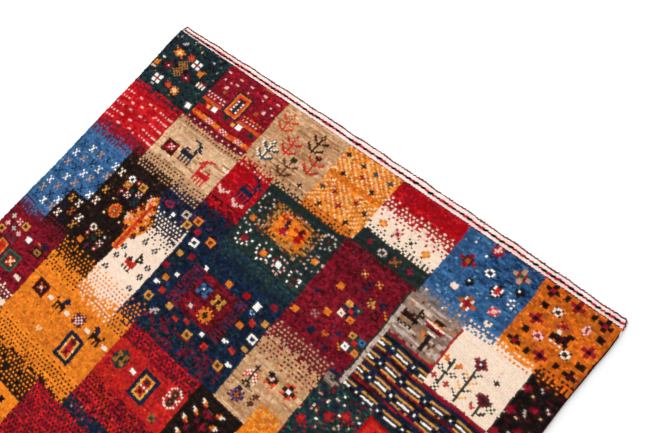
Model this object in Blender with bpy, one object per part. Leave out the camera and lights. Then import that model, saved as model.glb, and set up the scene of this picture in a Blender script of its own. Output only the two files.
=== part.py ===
"""A gabbeh: a hand-knotted wool rug of patchwork panels, lying flat.

X runs across the rug, Y along it and Z up, in metres. The origin is under the middle of the rug.
The knotted pile, its backing and the flatwoven band at each end are one cloth, so they are one solid.
An overcast cord runs along each long side.
"""

import math
from typing import NamedTuple

import bmesh
import bpy

# Sizes of the cloth
PILE_LENGTH = 1.450
HALF_WIDTH = 0.4965
PILE_TOP = 0.0100
PILE_SWELL = 0.0004
BAND_LOW = 0.0028

# Steps of the mesh across and along the pile's flat middle
STEPS_ACROSS = 24
STEPS_ALONG = 36

# The band at each end: its width at the middle, how much wider it grows to one side, and its bow
BAND_WIDTH = 0.0190
BAND_SLANT = 0.0040
BAND_BOW = 0.0060
BAND_CORNER = 0.0065

# The overcast cords
CORD_RADIUS = 0.0028
CORD_GAP = 0.0003
CORD_SHORT_OF_END = 0.0020


class EdgeStation(NamedTuple):
    """How far a long side stands out from straight, at a distance from the pile's end."""

    from_end: float
    out: float


class RimStep(NamedTuple):
    """A step of the pile's rounded rim: its distance in from the edge, and its height."""

    inset: float
    height: float


class BandStep(NamedTuple):
    """A row of the end band: its place from the pile to the outer edge, and its height."""

    share: float
    height: float


EDGE = (
    EdgeStation(from_end=0.000, out=0.0022),
    EdgeStation(from_end=0.030, out=0.0026),
    EdgeStation(from_end=0.075, out=0.0008),
    EdgeStation(from_end=0.140, out=-0.0010),
    EdgeStation(from_end=0.200, out=-0.0004),
    EdgeStation(from_end=0.350, out=-0.0016),
    EdgeStation(from_end=0.480, out=0.0006),
    EdgeStation(from_end=0.725, out=0.0004),
)

RIM = (
    RimStep(inset=0.0000, height=0.0052),
    RimStep(inset=0.0014, height=0.0080),
    RimStep(inset=0.0045, height=0.0096),
    RimStep(inset=0.0110, height=0.0100),
)

# The first low ridge is half under the pile, the second is the main two-colour twined line, and the
# last is the fine twined line at the outer edge.
BAND = (
    BandStep(share=0.05, height=0.0030),
    BandStep(share=0.20, height=0.0029),
    BandStep(share=0.42, height=0.0046),
    BandStep(share=0.60, height=0.0046),
    BandStep(share=0.68, height=0.0030),
    BandStep(share=0.86, height=0.0028),
    BandStep(share=0.93, height=0.0036),
    BandStep(share=1.00, height=0.0026),
)


def smooth(t):
    """An even ease from 0 to 1."""
    return t * t * (3.0 - 2.0 * t)


def edge_out(y):
    """How far the long sides stand out from straight at y."""
    from_end = min(max(PILE_LENGTH / 2 - abs(y), 0.0), EDGE[-1].from_end)
    for low, high in zip(EDGE, EDGE[1:]):
        if from_end <= high.from_end:
            t = (from_end - low.from_end) / (high.from_end - low.from_end)
            return low.out + (high.out - low.out) * smooth(t)
    return EDGE[-1].out


def half_width(y):
    """Half the width of the pile at y."""
    return HALF_WIDTH + edge_out(y)


def band_width(across):
    """How far the end band reaches past the pile; across runs from -1 to 1 over the width."""
    return BAND_WIDTH + BAND_SLANT * across + BAND_BOW * math.cos(math.pi * across / 2)


def swell(x, y):
    """The slight unevenness of the pile's top."""
    long_wave = math.sin(7.0 * x + 1.3) * math.sin(5.0 * y + 0.4)
    short_wave = math.sin(19.0 * x + 0.2) * math.sin(15.0 * y + 2.1)
    return PILE_SWELL * (0.6 * long_wave + 0.4 * short_wave)


def columns():
    """Places across the rug as (share of the half width without rims, inset from the edge, height)."""
    rim = [(-1.0, step.inset, step.height) for step in RIM]
    middle = [(-1.0 + 2.0 * i / STEPS_ACROSS, None, PILE_TOP) for i in range(1, STEPS_ACROSS)]
    other = [(1.0, inset, height) for _, inset, height in reversed(rim)]
    return rim + middle + other


def pile_rows():
    """Places along the pile as (y, height), with the rounded rim at both ends."""
    end = PILE_LENGTH / 2
    rim = [(-end + step.inset, step.height) for step in RIM]
    flat = end - RIM[-1].inset
    middle = [(-flat + 2.0 * flat * i / STEPS_ALONG, PILE_TOP) for i in range(1, STEPS_ALONG)]
    other = [(-y, height) for y, height in reversed(rim)]
    return rim + middle + other


def pile_point(column, row):
    """A point of the pile's top surface."""
    share, inset, height_across = column
    y, height_along = row
    half = half_width(y)
    if inset is None:
        x = share * (half - RIM[-1].inset)
    else:
        x = share * (half - inset)
    height = min(height_across, height_along)
    rise = swell(x, y) if height > RIM[2].height else 0.0
    return x, y, height + rise


def band_point(column, step, end_sign):
    """A point of the flatwoven band past the pile's end on the +Y or -Y side."""
    share, inset, _ = column
    end = PILE_LENGTH / 2
    half = half_width(end)
    x = share * (half - RIM[-1].inset) if inset is None else share * (half - inset)
    across = x / half
    rounding = 1.0 - math.sqrt(max(0.0, 1.0 - step.share ** 2))
    x = across * (half - BAND_CORNER * rounding * abs(across) ** 6)
    y = end + step.share * band_width(across * end_sign)
    return x, y * end_sign, step.height


def cloth_rows():
    """Every row of the cloth from -Y to +Y, each a list of points across the rug."""
    across = columns()
    near = [[band_point(c, step, -1) for c in across] for step in reversed(BAND)]
    pile = [[pile_point(c, row) for c in across] for row in pile_rows()]
    far = [[band_point(c, step, 1) for c in across] for step in BAND]
    return near + pile + far


def wool(name, colour, roughness):
    """A wool material."""
    material = bpy.data.materials.new(name)
    material.use_nodes = True
    shader = material.node_tree.nodes["Principled BSDF"]
    shader.inputs["Base Color"].default_value = (*colour, 1.0)
    shader.inputs["Roughness"].default_value = roughness
    shader.inputs["Metallic"].default_value = 0.0
    return material


def make_cloth(collection):
    """The one-piece cloth: a grid shaped to the rug's top, drawn down to a flat underside."""
    rows = cloth_rows()
    shape = bmesh.new()
    bmesh.ops.create_grid(shape, x_segments=len(rows[0]) - 1, y_segments=len(rows) - 1, size=1.0)
    shape.verts.ensure_lookup_table()
    ordered = sorted(shape.verts, key=lambda v: (round(v.co.y, 5), round(v.co.x, 5)))
    points = [point for row in rows for point in row]
    for vertex, point in zip(ordered, points):
        vertex.co = point
    top = list(shape.faces)
    drawn = bmesh.ops.extrude_face_region(shape, geom=top)
    under = [item for item in drawn["geom"] if isinstance(item, bmesh.types.BMFace)]
    for face in under:
        for vertex in face.verts:
            vertex.co.z = 0.0
    bmesh.ops.dissolve_faces(shape, faces=under, use_verts=False)
    bmesh.ops.recalc_face_normals(shape, faces=list(shape.faces))
    mesh = bpy.data.meshes.new("rug")
    shape.to_mesh(mesh)
    shape.free()
    mesh.shade_smooth()
    mesh.set_sharp_from_angle(angle=math.radians(40))
    cloth = bpy.data.objects.new("rug", mesh)
    cloth.data.materials.append(wool("pile_wool", (0.28, 0.05, 0.04), 0.95))
    collection.objects.link(cloth)


def make_selvedge(name, side, collection):
    """The overcast cord along one long side, lying on the ground beside the cloth."""
    limit = PILE_LENGTH / 2 - CORD_SHORT_OF_END
    stations = [-limit] + [y for y, _ in pile_rows() if abs(y) < limit] + [limit]
    curve = bpy.data.curves.new(name, "CURVE")
    curve.dimensions = "3D"
    curve.bevel_depth = CORD_RADIUS
    curve.bevel_resolution = 2
    curve.use_fill_caps = True
    spline = curve.splines.new("POLY")
    spline.points.add(len(stations) - 1)
    for point, y in zip(spline.points, stations):
        x = side * (half_width(y) + CORD_GAP + CORD_RADIUS)
        point.co = (x, y, CORD_RADIUS, 1.0)
    cord = bpy.data.objects.new(name, curve)
    cord.data.materials.append(wool(name + "_wool", (0.045, 0.012, 0.015), 0.9))
    collection.objects.link(cord)


def clear_scene():
    """Empties the scene before the rug is made."""
    for thing in list(bpy.data.objects):
        bpy.data.objects.remove(thing, do_unlink=True)


def main():
    clear_scene()
    collection = bpy.data.collections.new("gabbeh_rug")
    bpy.context.scene.collection.children.link(collection)
    make_cloth(collection)
    make_selvedge("selvedge_left", -1, collection)
    make_selvedge("selvedge_right", 1, collection)


main()
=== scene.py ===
"""The looks of a hand-knotted gabbeh rug: its knotted pile, backing, woven ends and overcast sides.

The rug's pattern is a chart of knots, filled panel by panel. Places in the chart are millimetres:
x from a line 4 mm to the right of the rug's middle, and down from the pile's end on the +Y side.
"""

import math
from typing import NamedTuple

import bpy
import numpy as np
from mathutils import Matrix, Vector


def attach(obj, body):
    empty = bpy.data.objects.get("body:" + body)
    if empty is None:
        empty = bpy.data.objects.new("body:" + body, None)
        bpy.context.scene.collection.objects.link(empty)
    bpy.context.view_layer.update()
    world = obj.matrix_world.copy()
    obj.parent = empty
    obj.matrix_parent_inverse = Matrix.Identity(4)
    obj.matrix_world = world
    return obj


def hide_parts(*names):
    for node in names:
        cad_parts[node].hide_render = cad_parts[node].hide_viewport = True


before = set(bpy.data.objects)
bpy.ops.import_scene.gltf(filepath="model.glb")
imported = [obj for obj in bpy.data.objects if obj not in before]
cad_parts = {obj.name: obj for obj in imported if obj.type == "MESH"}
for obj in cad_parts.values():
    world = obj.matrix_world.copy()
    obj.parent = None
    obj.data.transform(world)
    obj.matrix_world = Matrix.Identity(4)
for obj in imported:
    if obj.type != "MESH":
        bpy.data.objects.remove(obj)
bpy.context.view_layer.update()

# Sizes of the cloth, as in the CAD
PILE_LENGTH = 1.450
HALF_WIDTH = 0.4965
PILE_TOP = 0.0100
BAND_WIDTH = 0.0190
BAND_SLANT = 0.0040
BAND_BOW = 0.0060
BAND_CORNER = 0.0065
BAND_TOP = 0.0028
CORD_RADIUS = 0.0028
CORD_GAP = 0.0003
CORD_SHORT_OF_END = 0.0020

# Sizes that only the looks have: the backing, the band's cloth and how far it runs under the pile
BACKING_HEIGHT = 0.0005
BACKING_INSET = 0.0003
BAND_THICKNESS = 0.0021
BAND_UNDER_PILE = 0.02
BAND_UNDER_RISE = 0.0010
BAND_HEM_DROP = 0.0006

# The overcasting's yarn: the pitch of its wraps, and how far it leans and bulges
WRAP_PITCH = 0.0030
WRAP_LEAN = 0.0011
WRAP_BULGE = 0.0005

# How far the pile's tips lean out over the side cords and the end bands
OVER_SIDE = 0.0030
OVER_END = 0.0030
OVER_END_SLANT = 0.0020

# How far the end bands reach out past the pile's sides
BAND_OVER = 0.0045

# The knots, and the chart's left and top sides in millimetres
KNOTS_ACROSS = 250
KNOTS_ALONG = 428
MM_ACROSS = 4.008
MM_ALONG = 3.402
CHART_LEFT = -505.0
CHART_TOP = -3.0
STRIPS = 4

# How much of a knot's rim takes its neighbours' colour, and how often a whole face of it does
KNOT_MIX = 0.26
STRAY_FIBRES = 0.07

# Painted shade: the share of the dyed wool's light that the pile's depth leaves, multiplied into every knot's
# colour
PILE_DEPTH_SHADE = 0.85

# How far a knot's middle rises over its corners, and how far middles and corners scatter
KNOT_RISE = 0.0006
RISE_SCATTER = 0.0003
MIDDLE_SCATTER = 0.0005
CORNER_SCATTER = 0.00034
HEIGHT_SCATTER = 0.00022

# How far the last two rows of knots drop towards the pile's edge, the last first
ROLL_DROPS = (0.0021, 0.0009)


class EdgeStation(NamedTuple):
    """How far a long side stands out from straight, at a distance from the pile's end."""

    from_end: float
    out: float


EDGE = (
    EdgeStation(from_end=0.000, out=0.0022),
    EdgeStation(from_end=0.030, out=0.0026),
    EdgeStation(from_end=0.075, out=0.0008),
    EdgeStation(from_end=0.140, out=-0.0010),
    EdgeStation(from_end=0.200, out=-0.0004),
    EdgeStation(from_end=0.350, out=-0.0016),
    EdgeStation(from_end=0.480, out=0.0006),
    EdgeStation(from_end=0.725, out=0.0004),
)


class Yarn(NamedTuple):
    """A yarn's colour out of 255, how streaky its dye is, and how uneven it is knot by knot."""

    red: int
    green: int
    blue: int
    streak: float
    fleck: float


YARNS = {
    "teal_black": Yarn(30, 43, 46, 0.16, 0.24),
    "bottle": Yarn(34, 54, 50, 0.14, 0.24),
    "green_black": Yarn(34, 42, 36, 0.14, 0.22),
    "green": Yarn(44, 92, 66, 0.10, 0.18),
    "teal": Yarn(28, 66, 70, 0.10, 0.18),
    "navy": Yarn(20, 33, 54, 0.16, 0.28),
    "violet": Yarn(84, 38, 62, 0.10, 0.18),
    "blue_dark": Yarn(24, 50, 86, 0.18, 0.22),
    "blue": Yarn(60, 104, 150, 0.12, 0.15),
    "denim": Yarn(44, 80, 120, 0.12, 0.18),
    "blue_pale": Yarn(112, 148, 178, 0.10, 0.14),
    "black": Yarn(22, 16, 16, 0.08, 0.20),
    "brown_black": Yarn(34, 22, 18, 0.12, 0.28),
    "brown": Yarn(92, 52, 30, 0.10, 0.18),
    "maroon": Yarn(76, 14, 22, 0.12, 0.18),
    "burgundy": Yarn(112, 20, 34, 0.14, 0.24),
    "crimson": Yarn(144, 20, 36, 0.12, 0.22),
    "red": Yarn(166, 10, 20, 0.10, 0.16),
    "scarlet": Yarn(194, 28, 34, 0.10, 0.18),
    "brick": Yarn(182, 40, 26, 0.10, 0.24),
    "vermilion": Yarn(206, 62, 30, 0.08, 0.12),
    "rust": Yarn(176, 84, 30, 0.10, 0.14),
    "burnt": Yarn(206, 98, 22, 0.10, 0.22),
    "ochre": Yarn(160, 104, 44, 0.10, 0.16),
    "straw": Yarn(206, 142, 64, 0.08, 0.14),
    "orange": Yarn(220, 116, 34, 0.08, 0.16),
    "gold": Yarn(236, 130, 34, 0.08, 0.15),
    "amber": Yarn(240, 164, 66, 0.05, 0.08),
    "apricot": Yarn(246, 198, 142, 0.05, 0.10),
    "camel_dark": Yarn(164, 114, 78, 0.09, 0.12),
    "camel": Yarn(196, 148, 106, 0.09, 0.15),
    "camel_pale": Yarn(220, 178, 138, 0.07, 0.12),
    "tan": Yarn(190, 146, 112, 0.08, 0.12),
    "grey": Yarn(144, 118, 102, 0.13, 0.20),
    "grey_pale": Yarn(196, 174, 160, 0.08, 0.10),
    "pink": Yarn(242, 186, 176, 0.05, 0.08),
    "cream": Yarn(251, 224, 200, 0.03, 0.03),
    "white": Yarn(254, 246, 238, 0.03, 0.05),
}
YARN_NAMES = list(YARNS)

# Motifs: # is the main yarn, o, x and v the others, and a dot leaves the ground
DOT = ("#",)
DASH = ("##",)
LONG_DASH = ("###",)
FLECK = ("##", "##")
BLOCK = ("###", "###", "###")
LOW_BLOCK = ("###", "###")
BRICK = ("####", "####", "####")
BAR = ("####", "####")
PLUS = (".#.", "###", ".#.")
SALTIRE = ("#..#", ".##.", ".##.", "#..#")
SMALL_SALTIRE = ("#.#", ".#.", "#.#")
FINE_SALTIRE = ("#.#", ".#.", ".#.", "#.#")
RING = (".##.", "#..#", "#..#", ".##.")
EYE = (".##.", "#oo#", "#oo#", ".##.")
TALL_DIAMOND = (".#.", "#o#", "#o#", "#o#", ".#.")
CROSSED_SQUARE = ("#o#", "ooo", "#o#")
CORED_SQUARE = ("###", "#o#", "###")
PUPIL = (".##.", "#o##", "####", ".##.")
SQUARE_RING = ("####", "#oo#", "#oo#", "####")
FOUR_DOTS = (".#.", "#o#", "#o#", ".#.")
WIDE_RING = (".###.", "#...#", "#...#", ".###.")
CROSSED = ("#oo#", "o##o", "o##o", "#oo#")
BUD = ("#.#", "###", ".#.")
COMB = ("#.#.#", "#.#.#", "#.#.#")
PETALS = ("##.##", "##o##", ".ooo.", "##o##", "##.##")
STARLET = ("#.#.", ".###", "##o#", ".#.#")
BUTTERFLY = ("##o.", ".#oo", "..xx")
BLOSSOM = ("..##..", "..##..", "##oo##", "##oo##", "..##..", "..##..")
QUATREFOIL = (
    "...##...",
    "...##...",
    "..x##x..",
    "##xoox##",
    "##xoox##",
    "..x##x..",
    "...##...",
    "...##...",
)
BROAD_FLOWER = (
    "...##...",
    "..x##x..",
    "..xoox..",
    "##oooo##",
    "##oooo##",
    "..xoox..",
    "..x##x..",
    "...##...",
)
ROUND_BUD = (
    "..##..",
    ".xoox.",
    "#xoox#",
    "##oo##",
    "#xoox#",
    ".#xx#.",
    "..##..",
)
CORNERED = (
    "..###..",
    ".x###x.",
    "##xox##",
    "##ooo##",
    "##xox##",
    ".x###x.",
    "..###..",
)
ROUND_FLOWER = (".#.#.", "##o##", ".ooo.", "##o##", ".#.#.")
SUNBURST = (
    "..#.#..",
    "#.###.#",
    ".##x##.",
    "##xox##",
    "##oxo##",
    ".##x##.",
    "#.###.#",
    "..#.#..",
)
LOZENGE = (
    "...#...",
    "..#o#..",
    ".#.#o#.",
    "#o#x#o#",
    ".#o#.#.",
    "..#o#..",
    "...#...",
)
LOBES = (
    "##..##",
    "###.##",
    ".#oo#.",
    ".#oo#.",
    "##.###",
    "##..##",
)
ROSETTE = (
    ".#.#.#.",
    "#ooxoo#",
    ".oxoxo.",
    "#xoxox#",
    ".oxoxo.",
    "#ooxoo#",
    ".#.#.#.",
)
OVAL = (
    "..o.o..",
    ".o.#.o.",
    "o.###.o",
    "..#x#..",
    "o.###.o",
    ".o.#.o.",
    "o.###.o",
    "..#x#..",
    "o.###.o",
    ".o.#.o.",
    "..o.o..",
)
TREE = (
    "....#....",
    "....#....",
    "...#.#...",
    "#...#...#",
    "##..#..##",
    ".##.#.##.",
    "...###...",
    "....#....",
    "#...#...#",
    "##..#..##",
    ".##.#.##.",
    "..#####..",
    "....#....",
)
GOAT = (
    "..####....",
    ".....###..",
    "......##..",
    "......###.",
    "......#.##",
    "......##..",
    ".###..##..",
    ".#.....#..",
    "########..",
    "########..",
    "########..",
    ".#.#.#.#..",
    ".#.#.#.#..",
    ".#.#.#.#..",
    ".#.#.#.#..",
)
KID = (
    ".......#....",
    ".......##...",
    ".......###..",
    ".......#.##.",
    ".......####.",
    "....#..##...",
    "##.###.oo...",
    ".##o#oooo...",
    "...oooooo...",
    "...oooooo...",
    "...o.o.o....",
    "...#.#.#....",
    "...#.#.##...",
)
HORSE = (
    ".....##.",
    "....####",
    "o...###.",
    "o...##..",
    ".oooooo.",
    ".oooooo.",
    ".o.o.oo.",
    ".o.o..o.",
    ".o.o..o.",
)
PONY = (
    ".....###",
    ".oo..###",
    ".oo.###.",
    ".##xxx#.",
    "##x#x##.",
    "########",
    "##.##.##",
    ".o.o.o..",
)
BIRD = (
    ".##....",
    "#####..",
    ".##x##.",
    "..xx##.",
    ".####o.",
    ".oo#oo.",
    ".o...o.",
)
FIGURE = (
    "..o..",
    ".ooo.",
    ".oo..",
    ".ooo.",
    "..##.",
    ".###.",
    "#####",
    ".####",
    "..#..",
)
TULIPS = (
    "#.....#",
    "##.#.##",
    ".####..",
    "..##...",
)
BUSH = (
    "...#...",
    "..###..",
    "...#...",
    "..x#o..",
    ".xo#xo.",
    "xox#oxo",
    "oxo#xox",
    "xo.#.xo",
    "o..#..x",
    "..###..",
    ".##.##.",
    "..#.#..",
)
PLANT = (
    ".o..#..o.",
    "ooo.#.ooo",
    ".oo##.oo.",
    "...##.#..",
    "....#....",
    ".x..#..x.",
    "x.x.#.x.x",
    ".x.###.x.",
    "....#....",
    "....#....",
    ".v..#..v.",
    "vvv.#.vvv",
    ".v.##..v.",
    "....#....",
    "...#.#...",
    "....#....",
    "...#.#...",
)
TALL_PLANT = (
    "...o...",
    ".o.oo..",
    "ooo#oo.",
    ".o#x#oo",
    "..oo#o.",
    "..ooo..",
    "...#...",
    "...#..#",
    "...#.#.",
    "v..##..",
    ".v.#...",
    "#.v#..v",
    ".#.#.v.",
    "..##v..",
    "...#...",
    "v..#..#",
    ".v.#.#.",
    "..v##..",
    "...#...",
    "#..#..v",
    ".#.#.v.",
    "..##v..",
    "...#...",
    "...#...",
)
SHORT_PLANT = (
    "...o...",
    ".oooo..",
    "oo#o#oo",
    "oo#x##o",
    ".oo#oo.",
    "..ooo..",
    "...#...",
    "v..#..#",
    "vv.#.##",
    ".v.###.",
    "...#...",
    "...#...",
)
SUN = (
    "...v.v...",
    ".v.#o#.v.",
    "..##oo#..",
    "v#oo#o##v",
    ".#o#xo#..",
    ".#ox#xo#.",
    "v##oxoo#v",
    "..#o#o#..",
    ".v.#o#.v.",
    "...v.v...",
)
LONG_BIRD = (
    ".......#..",
    ".......##.",
    ".......#.#",
    ".......###",
    ".o...o.#..",
    ".##o##.#..",
    "#o###o###.",
    "#########.",
    ".......#..",
)


class Box(NamedTuple):
    """A stretch of the chart in millimetres."""

    left: float
    right: float
    top: float
    low: float


class Chart:
    """The rug's knots, row by row from the top, each the number of its yarn."""

    def __init__(self, seed):
        self.knots = np.zeros((KNOTS_ALONG, KNOTS_ACROSS), int)
        self.random = np.random.default_rng(seed)

    def span(self, box):
        """The rows and columns of a box, as slices."""
        ends = (np.array([box.top, box.low]) - CHART_TOP) / MM_ALONG
        sides = (np.array([box.left, box.right]) - CHART_LEFT) / MM_ACROSS
        rows = np.clip(np.round(ends), 0, KNOTS_ALONG).astype(int)
        cols = np.clip(np.round(sides), 0, KNOTS_ACROSS).astype(int)
        return slice(rows[0], rows[1]), slice(cols[0], cols[1])

    def grid(self, box):
        """The numbers of the rows and columns in a box, as two arrays."""
        rows, cols = self.span(box)
        return np.mgrid[rows, cols]

    def put(self, box, mask, yarn):
        """Sets the knots of a box where the mask is true."""
        rows, cols = self.span(box)
        self.knots[rows, cols][mask] = YARN_NAMES.index(yarn)

    def fill(self, box, yarn):
        rows, cols = self.span(box)
        self.knots[rows, cols] = YARN_NAMES.index(yarn)

    def ground(self, box, yarn, clouds=None, specks=None):
        """Fills a box, then lays clouds and single knots of other yarns on it, each with its share."""
        self.fill(box, yarn)
        for other, share in (clouds or {}).items():
            self.cloud(box, other, share)
        for other, share in (specks or {}).items():
            self.speckle(box, other, share)

    def speckle(self, box, yarn, share):
        """Scatters single knots of a yarn."""
        rows, _ = self.grid(box)
        self.put(box, self.random.random(rows.shape) < share, yarn)

    def streaks(self, box, yarn, share, length=14):
        """Lays short runs of a yarn along the rows."""
        rows, cols = self.span(box)
        high, wide = rows.stop - rows.start, cols.stop - cols.start
        for _ in range(int(share * high * wide / length)):
            row = self.random.integers(high)
            start = self.random.integers(-length // 2, wide)
            run = int(length * self.random.uniform(0.4, 1.6))
            stretch = self.knots[rows, cols][row, max(start, 0):max(start + run, 0)]
            stretch[self.random.random(stretch.shape) < 0.85] = YARN_NAMES.index(yarn)

    def dotted(self, box, level):
        """A mask of regular dots: level 1 is one knot in eight, 2 one in four, and 3 every other one."""
        rows, cols = self.grid(box)
        if level == 1:
            mask = (rows % 2 == 0) & ((cols + rows) % 4 == 0)
        elif level == 2:
            mask = (rows % 2 == 0) & ((cols + rows // 2) % 2 == 0)
        else:
            mask = (rows + cols) % 2 == 0
        return mask & (self.random.random(mask.shape) > 0.05)

    def dots(self, box, yarn, level):
        self.put(box, self.dotted(box, level), yarn)

    def fade(self, box, above, below, turn=0.5):
        """One yarn gives way to another: dots of the second down to turn, then dots of the first."""
        rows, cols = self.grid(box)
        high = len(rows)
        share = (rows - rows[0, 0] + 0.5) / high
        drift = np.cumsum(self.random.random((high, 1)) < 0.12, axis=0)
        dots = (rows % 2 == 0) & ((cols + rows // 2 + drift) % 2 == 0)
        dots &= self.random.random(dots.shape) > 0.06
        near = np.minimum(np.minimum(share / turn, (1 - share) / (1 - turn)), 1.0)
        sparse = (near < 0.22) & ((cols + rows // 2 + drift) % 4 < 2)
        dense = (near > 0.8) & (self.random.random(dots.shape) < 0.2)
        dots = (dots & ~sparse) | dense
        second = np.where(share < turn, dots, ~dots)
        self.put(box, ~second, above)
        self.put(box, second, below)

    def cloud(self, box, yarn, share, grain=(1.2, 2.0)):
        """Small cloudy patches of a yarn."""
        rows, _ = self.grid(box)
        noise = smooth_noise(rows.shape, grain, self.random) + 0.7 * self.random.normal(size=rows.shape)
        self.put(box, noise > np.quantile(noise, 1 - share), yarn)

    def stamp(self, motif, x, down, *yarns, flip=False):
        """Knots a motif with its middle at x and down."""
        high, wide = len(motif), len(motif[0])
        top = round((down - CHART_TOP) / MM_ALONG - high / 2)
        left = round((x - CHART_LEFT) / MM_ACROSS - wide / 2)
        colours = dict(zip("#oxv", yarns))
        for i, line in enumerate(motif):
            for j, mark in enumerate(reversed(line) if flip else line):
                inside = 0 <= top + i < KNOTS_ALONG and 0 <= left + j < KNOTS_ACROSS
                if colours.get(mark) and inside:
                    self.knots[top + i, left + j] = YARN_NAMES.index(colours[mark])

    def stamps(self, motif, places, *yarns, flip=False):
        for x, down in places:
            self.stamp(motif, x, down, *yarns, flip=flip)

    def lay(self, *rows):
        """Stamps rows of a motif, its yarns in one string, and its places."""
        for motif, yarns, *places in rows:
            self.stamps(motif, places, *yarns.split())

    def frames(self, box, *yarns):
        """Nested rectangles, each a knot inside the last."""
        for step, yarn in enumerate(yarns):
            across, along = step * MM_ACROSS, step * MM_ALONG
            inner = Box(box.left + across, box.right - across, box.top + along, box.low - along)
            self.fill(inner, yarn)

    def ring(self, x, down, radius, yarn):
        """A loose ring of single knots."""
        for turn in np.arange(0.0, 2 * math.pi, 0.6):
            reach = radius * self.random.uniform(0.85, 1.15)
            if self.random.random() < 0.85:
                self.stamp(DOT, x + reach * math.cos(turn), down + reach * math.sin(turn), yarn)

    def disc(self, x, down, radius, yarn, petals=0):
        """A round patch, with a notched rim if it has petals."""
        box = Box(x - radius - 5, x + radius + 5, down - radius - 5, down + radius + 5)
        rows, cols = self.grid(box)
        across = (cols + 0.5) * MM_ACROSS + CHART_LEFT - x
        along = (rows + 0.5) * MM_ALONG + CHART_TOP - down
        far = np.hypot(across, along)
        notch = 1.0 - 0.28 * (np.cos(petals * np.arctan2(along, across)) < -0.2) if petals else 1.0
        self.put(box, far < radius * notch, yarn)


def teal_corner(chart):
    """The black-teal panel in the corner, with orange and white flowers."""
    box = Box(-506, -354, -4, 132)
    chart.ground(box, "teal_black", clouds={"navy": 0.16, "bottle": 0.16, "black": 0.16},
                 specks={"green": 0.02, "grey": 0.012})
    chart.speckle(Box(-506, -354, -4, 16), "grey", 0.07)
    chart.speckle(Box(-506, -354, -4, 24), "teal", 0.14)
    chart.lay(
        (DOT, "grey_pale", (-386, 17), (-368, 30), (-426, 12)),
        (("..#", ".##", "##."), "grey_pale", (-471, 16)),
        (SALTIRE, "orange", (-473, 37), (-460, 40)),
        (ROUND_FLOWER, "orange apricot", (-467, 38)),
        (STARLET, "vermilion orange", (-437, 36)),
        (PETALS, "white crimson", (-413, 38), (-465, 107)),
        (BLOCK, "orange", (-393, 49)),
        (DASH, "ochre", (-390, 42), (-399, 46)),
        (LOZENGE, "ochre teal_black rust", (-438, 58), (-438, 72)),
        (LOZENGE, "maroon crimson pink", (-465, 75), (-415, 75)),
        (COMB, "cream", (-374, 71)),
        (DASH, "crimson", (-377, 62), (-369, 60)),
        (BLOCK, "orange", (-494, 80)),
        (LONG_DASH, "pink", (-494, 92)),
        (DASH, "white", (-490, 65)),
        (STARLET, "vermilion orange", (-438, 106)),
        (ROUND_FLOWER, "orange apricot", (-413, 106)),
        (BLOCK, "white", (-367, 116)),
        (DASH, "grey_pale", (-469, 122)),
    )


def crimson_medallion(chart):
    """The crimson panel of dots, bars and one framed medallion."""
    box = Box(-354, -201, -4, 130)
    chart.ground(box, "crimson", clouds={"burgundy": 0.42}, specks={"scarlet": 0.05})
    chart.streaks(Box(-262, -201, -4, 6), "rust", 0.35, 6)
    chart.lay(
        (DASH, "pink", (-343, 13), (-314, 14), (-285, 13), (-249, 13), (-215, 13), (-311, 26)),
        (FLECK, "pink", (-330, 40), (-230, 40)),
        (DOT, "pink", (-284, 25), (-245, 24), (-222, 25), (-326, 29), (-212, 35), (-343, 30)),
        (FLECK, "rust", (-326, 52), (-241, 52)),
    )
    for left, right, upper in ((-354, -303, "pink"), (-256, -201, "orange")):
        chart.dots(Box(left, right, 63, 67), upper, 2)
        chart.dots(Box(left, right, 72, 77), "pink", 2)
        chart.fill(Box(left, right, 79, 84), "rust")
        chart.cloud(Box(left, right, 79, 84), "vermilion", 0.45, (1.0, 3.0))
    chart.frames(Box(-301, -262, 32, 84), "navy", "orange", "vermilion", "burgundy", "green_black")
    chart.lay(
        (("#..#", "....", "#..#"), "white", (-281, 52), (-281, 66)),
        (DASH, "green_black", (-281, 59)),
        (BLOCK, "white", (-314, 92), (-246, 92)),
        (FLECK, "amber", (-330, 91), (-262, 92)),
        (BLOCK, "green_black", (-213, 91), (-281, 91), (-346, 92)),
    )
    chart.cloud(Box(-354, -201, 99, 107), "red", 0.5, (1.0, 6.0))
    chart.cloud(Box(-354, -201, 106, 110), "maroon", 0.6, (1.0, 6.0))
    chart.fill(Box(-354, -201, 110, 119), "vermilion")
    chart.cloud(Box(-354, -201, 110, 119), "orange", 0.5, (1.0, 4.0))
    chart.stamps((".#.#.", "#o#o#", ".#.#."), [(-308, 115), (-268, 115), (-227, 115)], "pink", "crimson")
    chart.ground(Box(-354, -201, 119, 135), "burgundy", clouds={"maroon": 0.3})
    chart.dots(Box(-354, -201, 127, 132), "pink", 1)
    chart.fade(Box(-363, -200, 131, 150), "burgundy", "camel", 0.25)


def camel_trees(chart):
    """The camel panel with branching trees."""
    box = Box(-201, -49, -4, 128)
    chart.fill(box, "camel")
    chart.streaks(box, "camel_dark", 0.30, 12)
    chart.streaks(box, "camel_pale", 0.22, 12)
    chart.streaks(Box(-201, -49, -4, 12), "camel_pale", 0.60, 16)
    chart.streaks(Box(-201, -49, 13, 21), "camel_dark", 0.60, 16)
    chart.lay(
        (TREE, "vermilion", (-174, 30)),
        (TREE, "brown_black", (-100, 29)),
        (TREE, "scarlet", (-138, 60)),
        (TREE, "brick", (-77, 67)),
        (BUD, "brown_black", (-77, 52)),
        (TREE, "cream", (-172, 95)),
        (TREE, "teal", (-168, 94)),
        (TREE, "brown", (-113, 97)),
        (BUD, "green_black", (-113, 82)),
        (PLUS, "brown_black", (-71, 112)),
    )
    chart.fade(Box(-201, -115, 119, 145), "camel", "red", 0.45)
    chart.speckle(Box(-201, -115, 133, 145), "maroon", 0.10)
    chart.fade(Box(-115, -49, 119, 145), "camel", "green_black", 0.4)


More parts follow.
